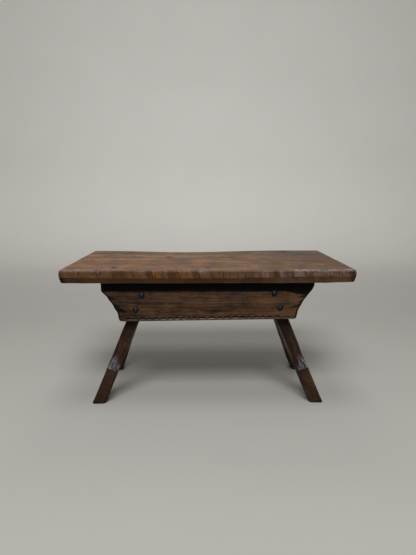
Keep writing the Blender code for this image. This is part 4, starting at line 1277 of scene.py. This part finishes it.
def build_stage():
    """A floor that curves up into a plain wall."""
    bend_start = STAGE_BACK - STAGE_BEND
    line = [(STAGE_FRONT, 0.0), (bend_start, 0.0)]
    for i in range(1, STAGE_BEND_STEPS + 1):
        turn = TAU / 4 * i / STAGE_BEND_STEPS
        line.append((bend_start + STAGE_BEND * math.sin(turn), STAGE_BEND * (1 - math.cos(turn))))
    line.append((STAGE_BACK, WALL_HEIGHT))
    verts = [(x, y, z) for x in (-STAGE_HALF_WIDTH, STAGE_HALF_WIDTH) for y, z in line]
    count = len(line)
    faces = [(i, count + i, count + i + 1, i + 1) for i in range(count - 1)]
    mesh = bpy.data.meshes.new("studio")
    mesh.from_pydata(verts, [], faces)
    mesh.shade_smooth()
    mesh.materials.append(stage_material())
    studio = link("studio", mesh)


def build_lamp(name, place, width, depth, power):
    data = bpy.data.lights.new(name, "AREA")
    data.shape = "RECTANGLE"
    data.size = width
    data.size_y = depth
    data.energy = power
    lamp = link(name, data)
    lamp.location = place
    x, y, z = np.array(place) - LAMP_TARGET
    lamp.rotation_euler = (math.atan2(math.hypot(x, y), z), 0, math.atan2(x, -y))


def build_world():
    """Where no wall stands, the world is as pale as the wall, but it lights the stool at its own level."""
    world = bpy.data.worlds.new("studio_world")
    g = Graph(world)
    rays = g.node("ShaderNodeLightPath", {}).outputs
    seen = g.math("MAXIMUM", rays["Is Camera Ray"], rays["Is Glossy Ray"])
    seen = g.math("MAXIMUM", seen, rays["Is Transmission Ray"])
    strength = g.node("ShaderNodeMapRange", {"Value": seen, "To Min": WORLD_LIGHT, "To Max": WORLD_SEEN})
    g.fill(g.tree.nodes["Background"], {"Color": WORLD_COLOUR, "Strength": strength.outputs["Result"]})
    bpy.context.scene.world = world


def build_camera():
    data = bpy.data.cameras.new("camera")
    data.sensor_width = SENSOR
    data.lens = FOCAL_PIXELS / PHOTO_HEIGHT * SENSOR
    camera = link("camera", data)
    turn = (Matrix.Rotation(CAMERA_YAW, 3, "Z") @ Matrix.Rotation(math.pi / 2 - CAMERA_PITCH, 3, "X")
            @ Matrix.Rotation(CAMERA_ROLL, 3, "Z"))
    camera.location = CAMERA_PLACE
    camera.rotation_euler = turn.to_euler()
    bpy.context.scene.camera = camera


def build_stool():
    seat_oak = oak_material("seat_oak_waxed", SEAT_COLOURS, SEAT_EDGE_COLOURS, roughness=0.42, gloss=0.04,
                            ring_width=0.0034, pith=(0.05, -0.13), mottling=0.5)
    apron_oak = oak_material("frame_oak_waxed", APRON_COLOURS, APRON_COLOURS, roughness=0.48, gloss=0.08,
                             ring_width=0.0030, pith=(0.07, -0.09), mottling=0.45)
    leg_oak = oak_material("leg_oak_waxed", LEG_COLOURS, LEG_COLOURS, roughness=0.46, gloss=0.08,
                           ring_width=0.0028, pith=(0.06, 0.05), mottling=0.4)
    leg_look = (leg_oak, "frame_oak")
    iron_look = (iron_material(IRON_COLOURS), "iron")
    build_seat((seat_oak, "seat_oak"))
    for i, (row, facing) in enumerate(ROWS):
        build_apron(row, facing, (apron_oak, "frame_oak"), 200 + 40 * i)
        for j, (end, side) in enumerate(ENDS):
            build_leg(row, facing, end, side, leg_look, 300 + 80 * i + 40 * j)
            build_peg(row, facing, end, side, leg_look, 600 + 10 * i + j)
    for j, (end, side) in enumerate(ENDS):
        build_rail(end, side, leg_look, 500 + 10 * j)
    for i, (name, _, facing, x, z, spin) in enumerate(nail_places()):
        build_apron_nail(name, facing, x, z, spin, iron_look, 700 + i)
    for i, (name, x, y) in enumerate(seat_nail_places()):
        build_seat_nail(name, x, y, iron_look, 800 + i)


build_camera()
build_stage()
for lamp_row in LAMPS:
    build_lamp(*lamp_row)
build_world()
build_stool()
bpy.context.scene.view_settings.view_transform = "Standard"
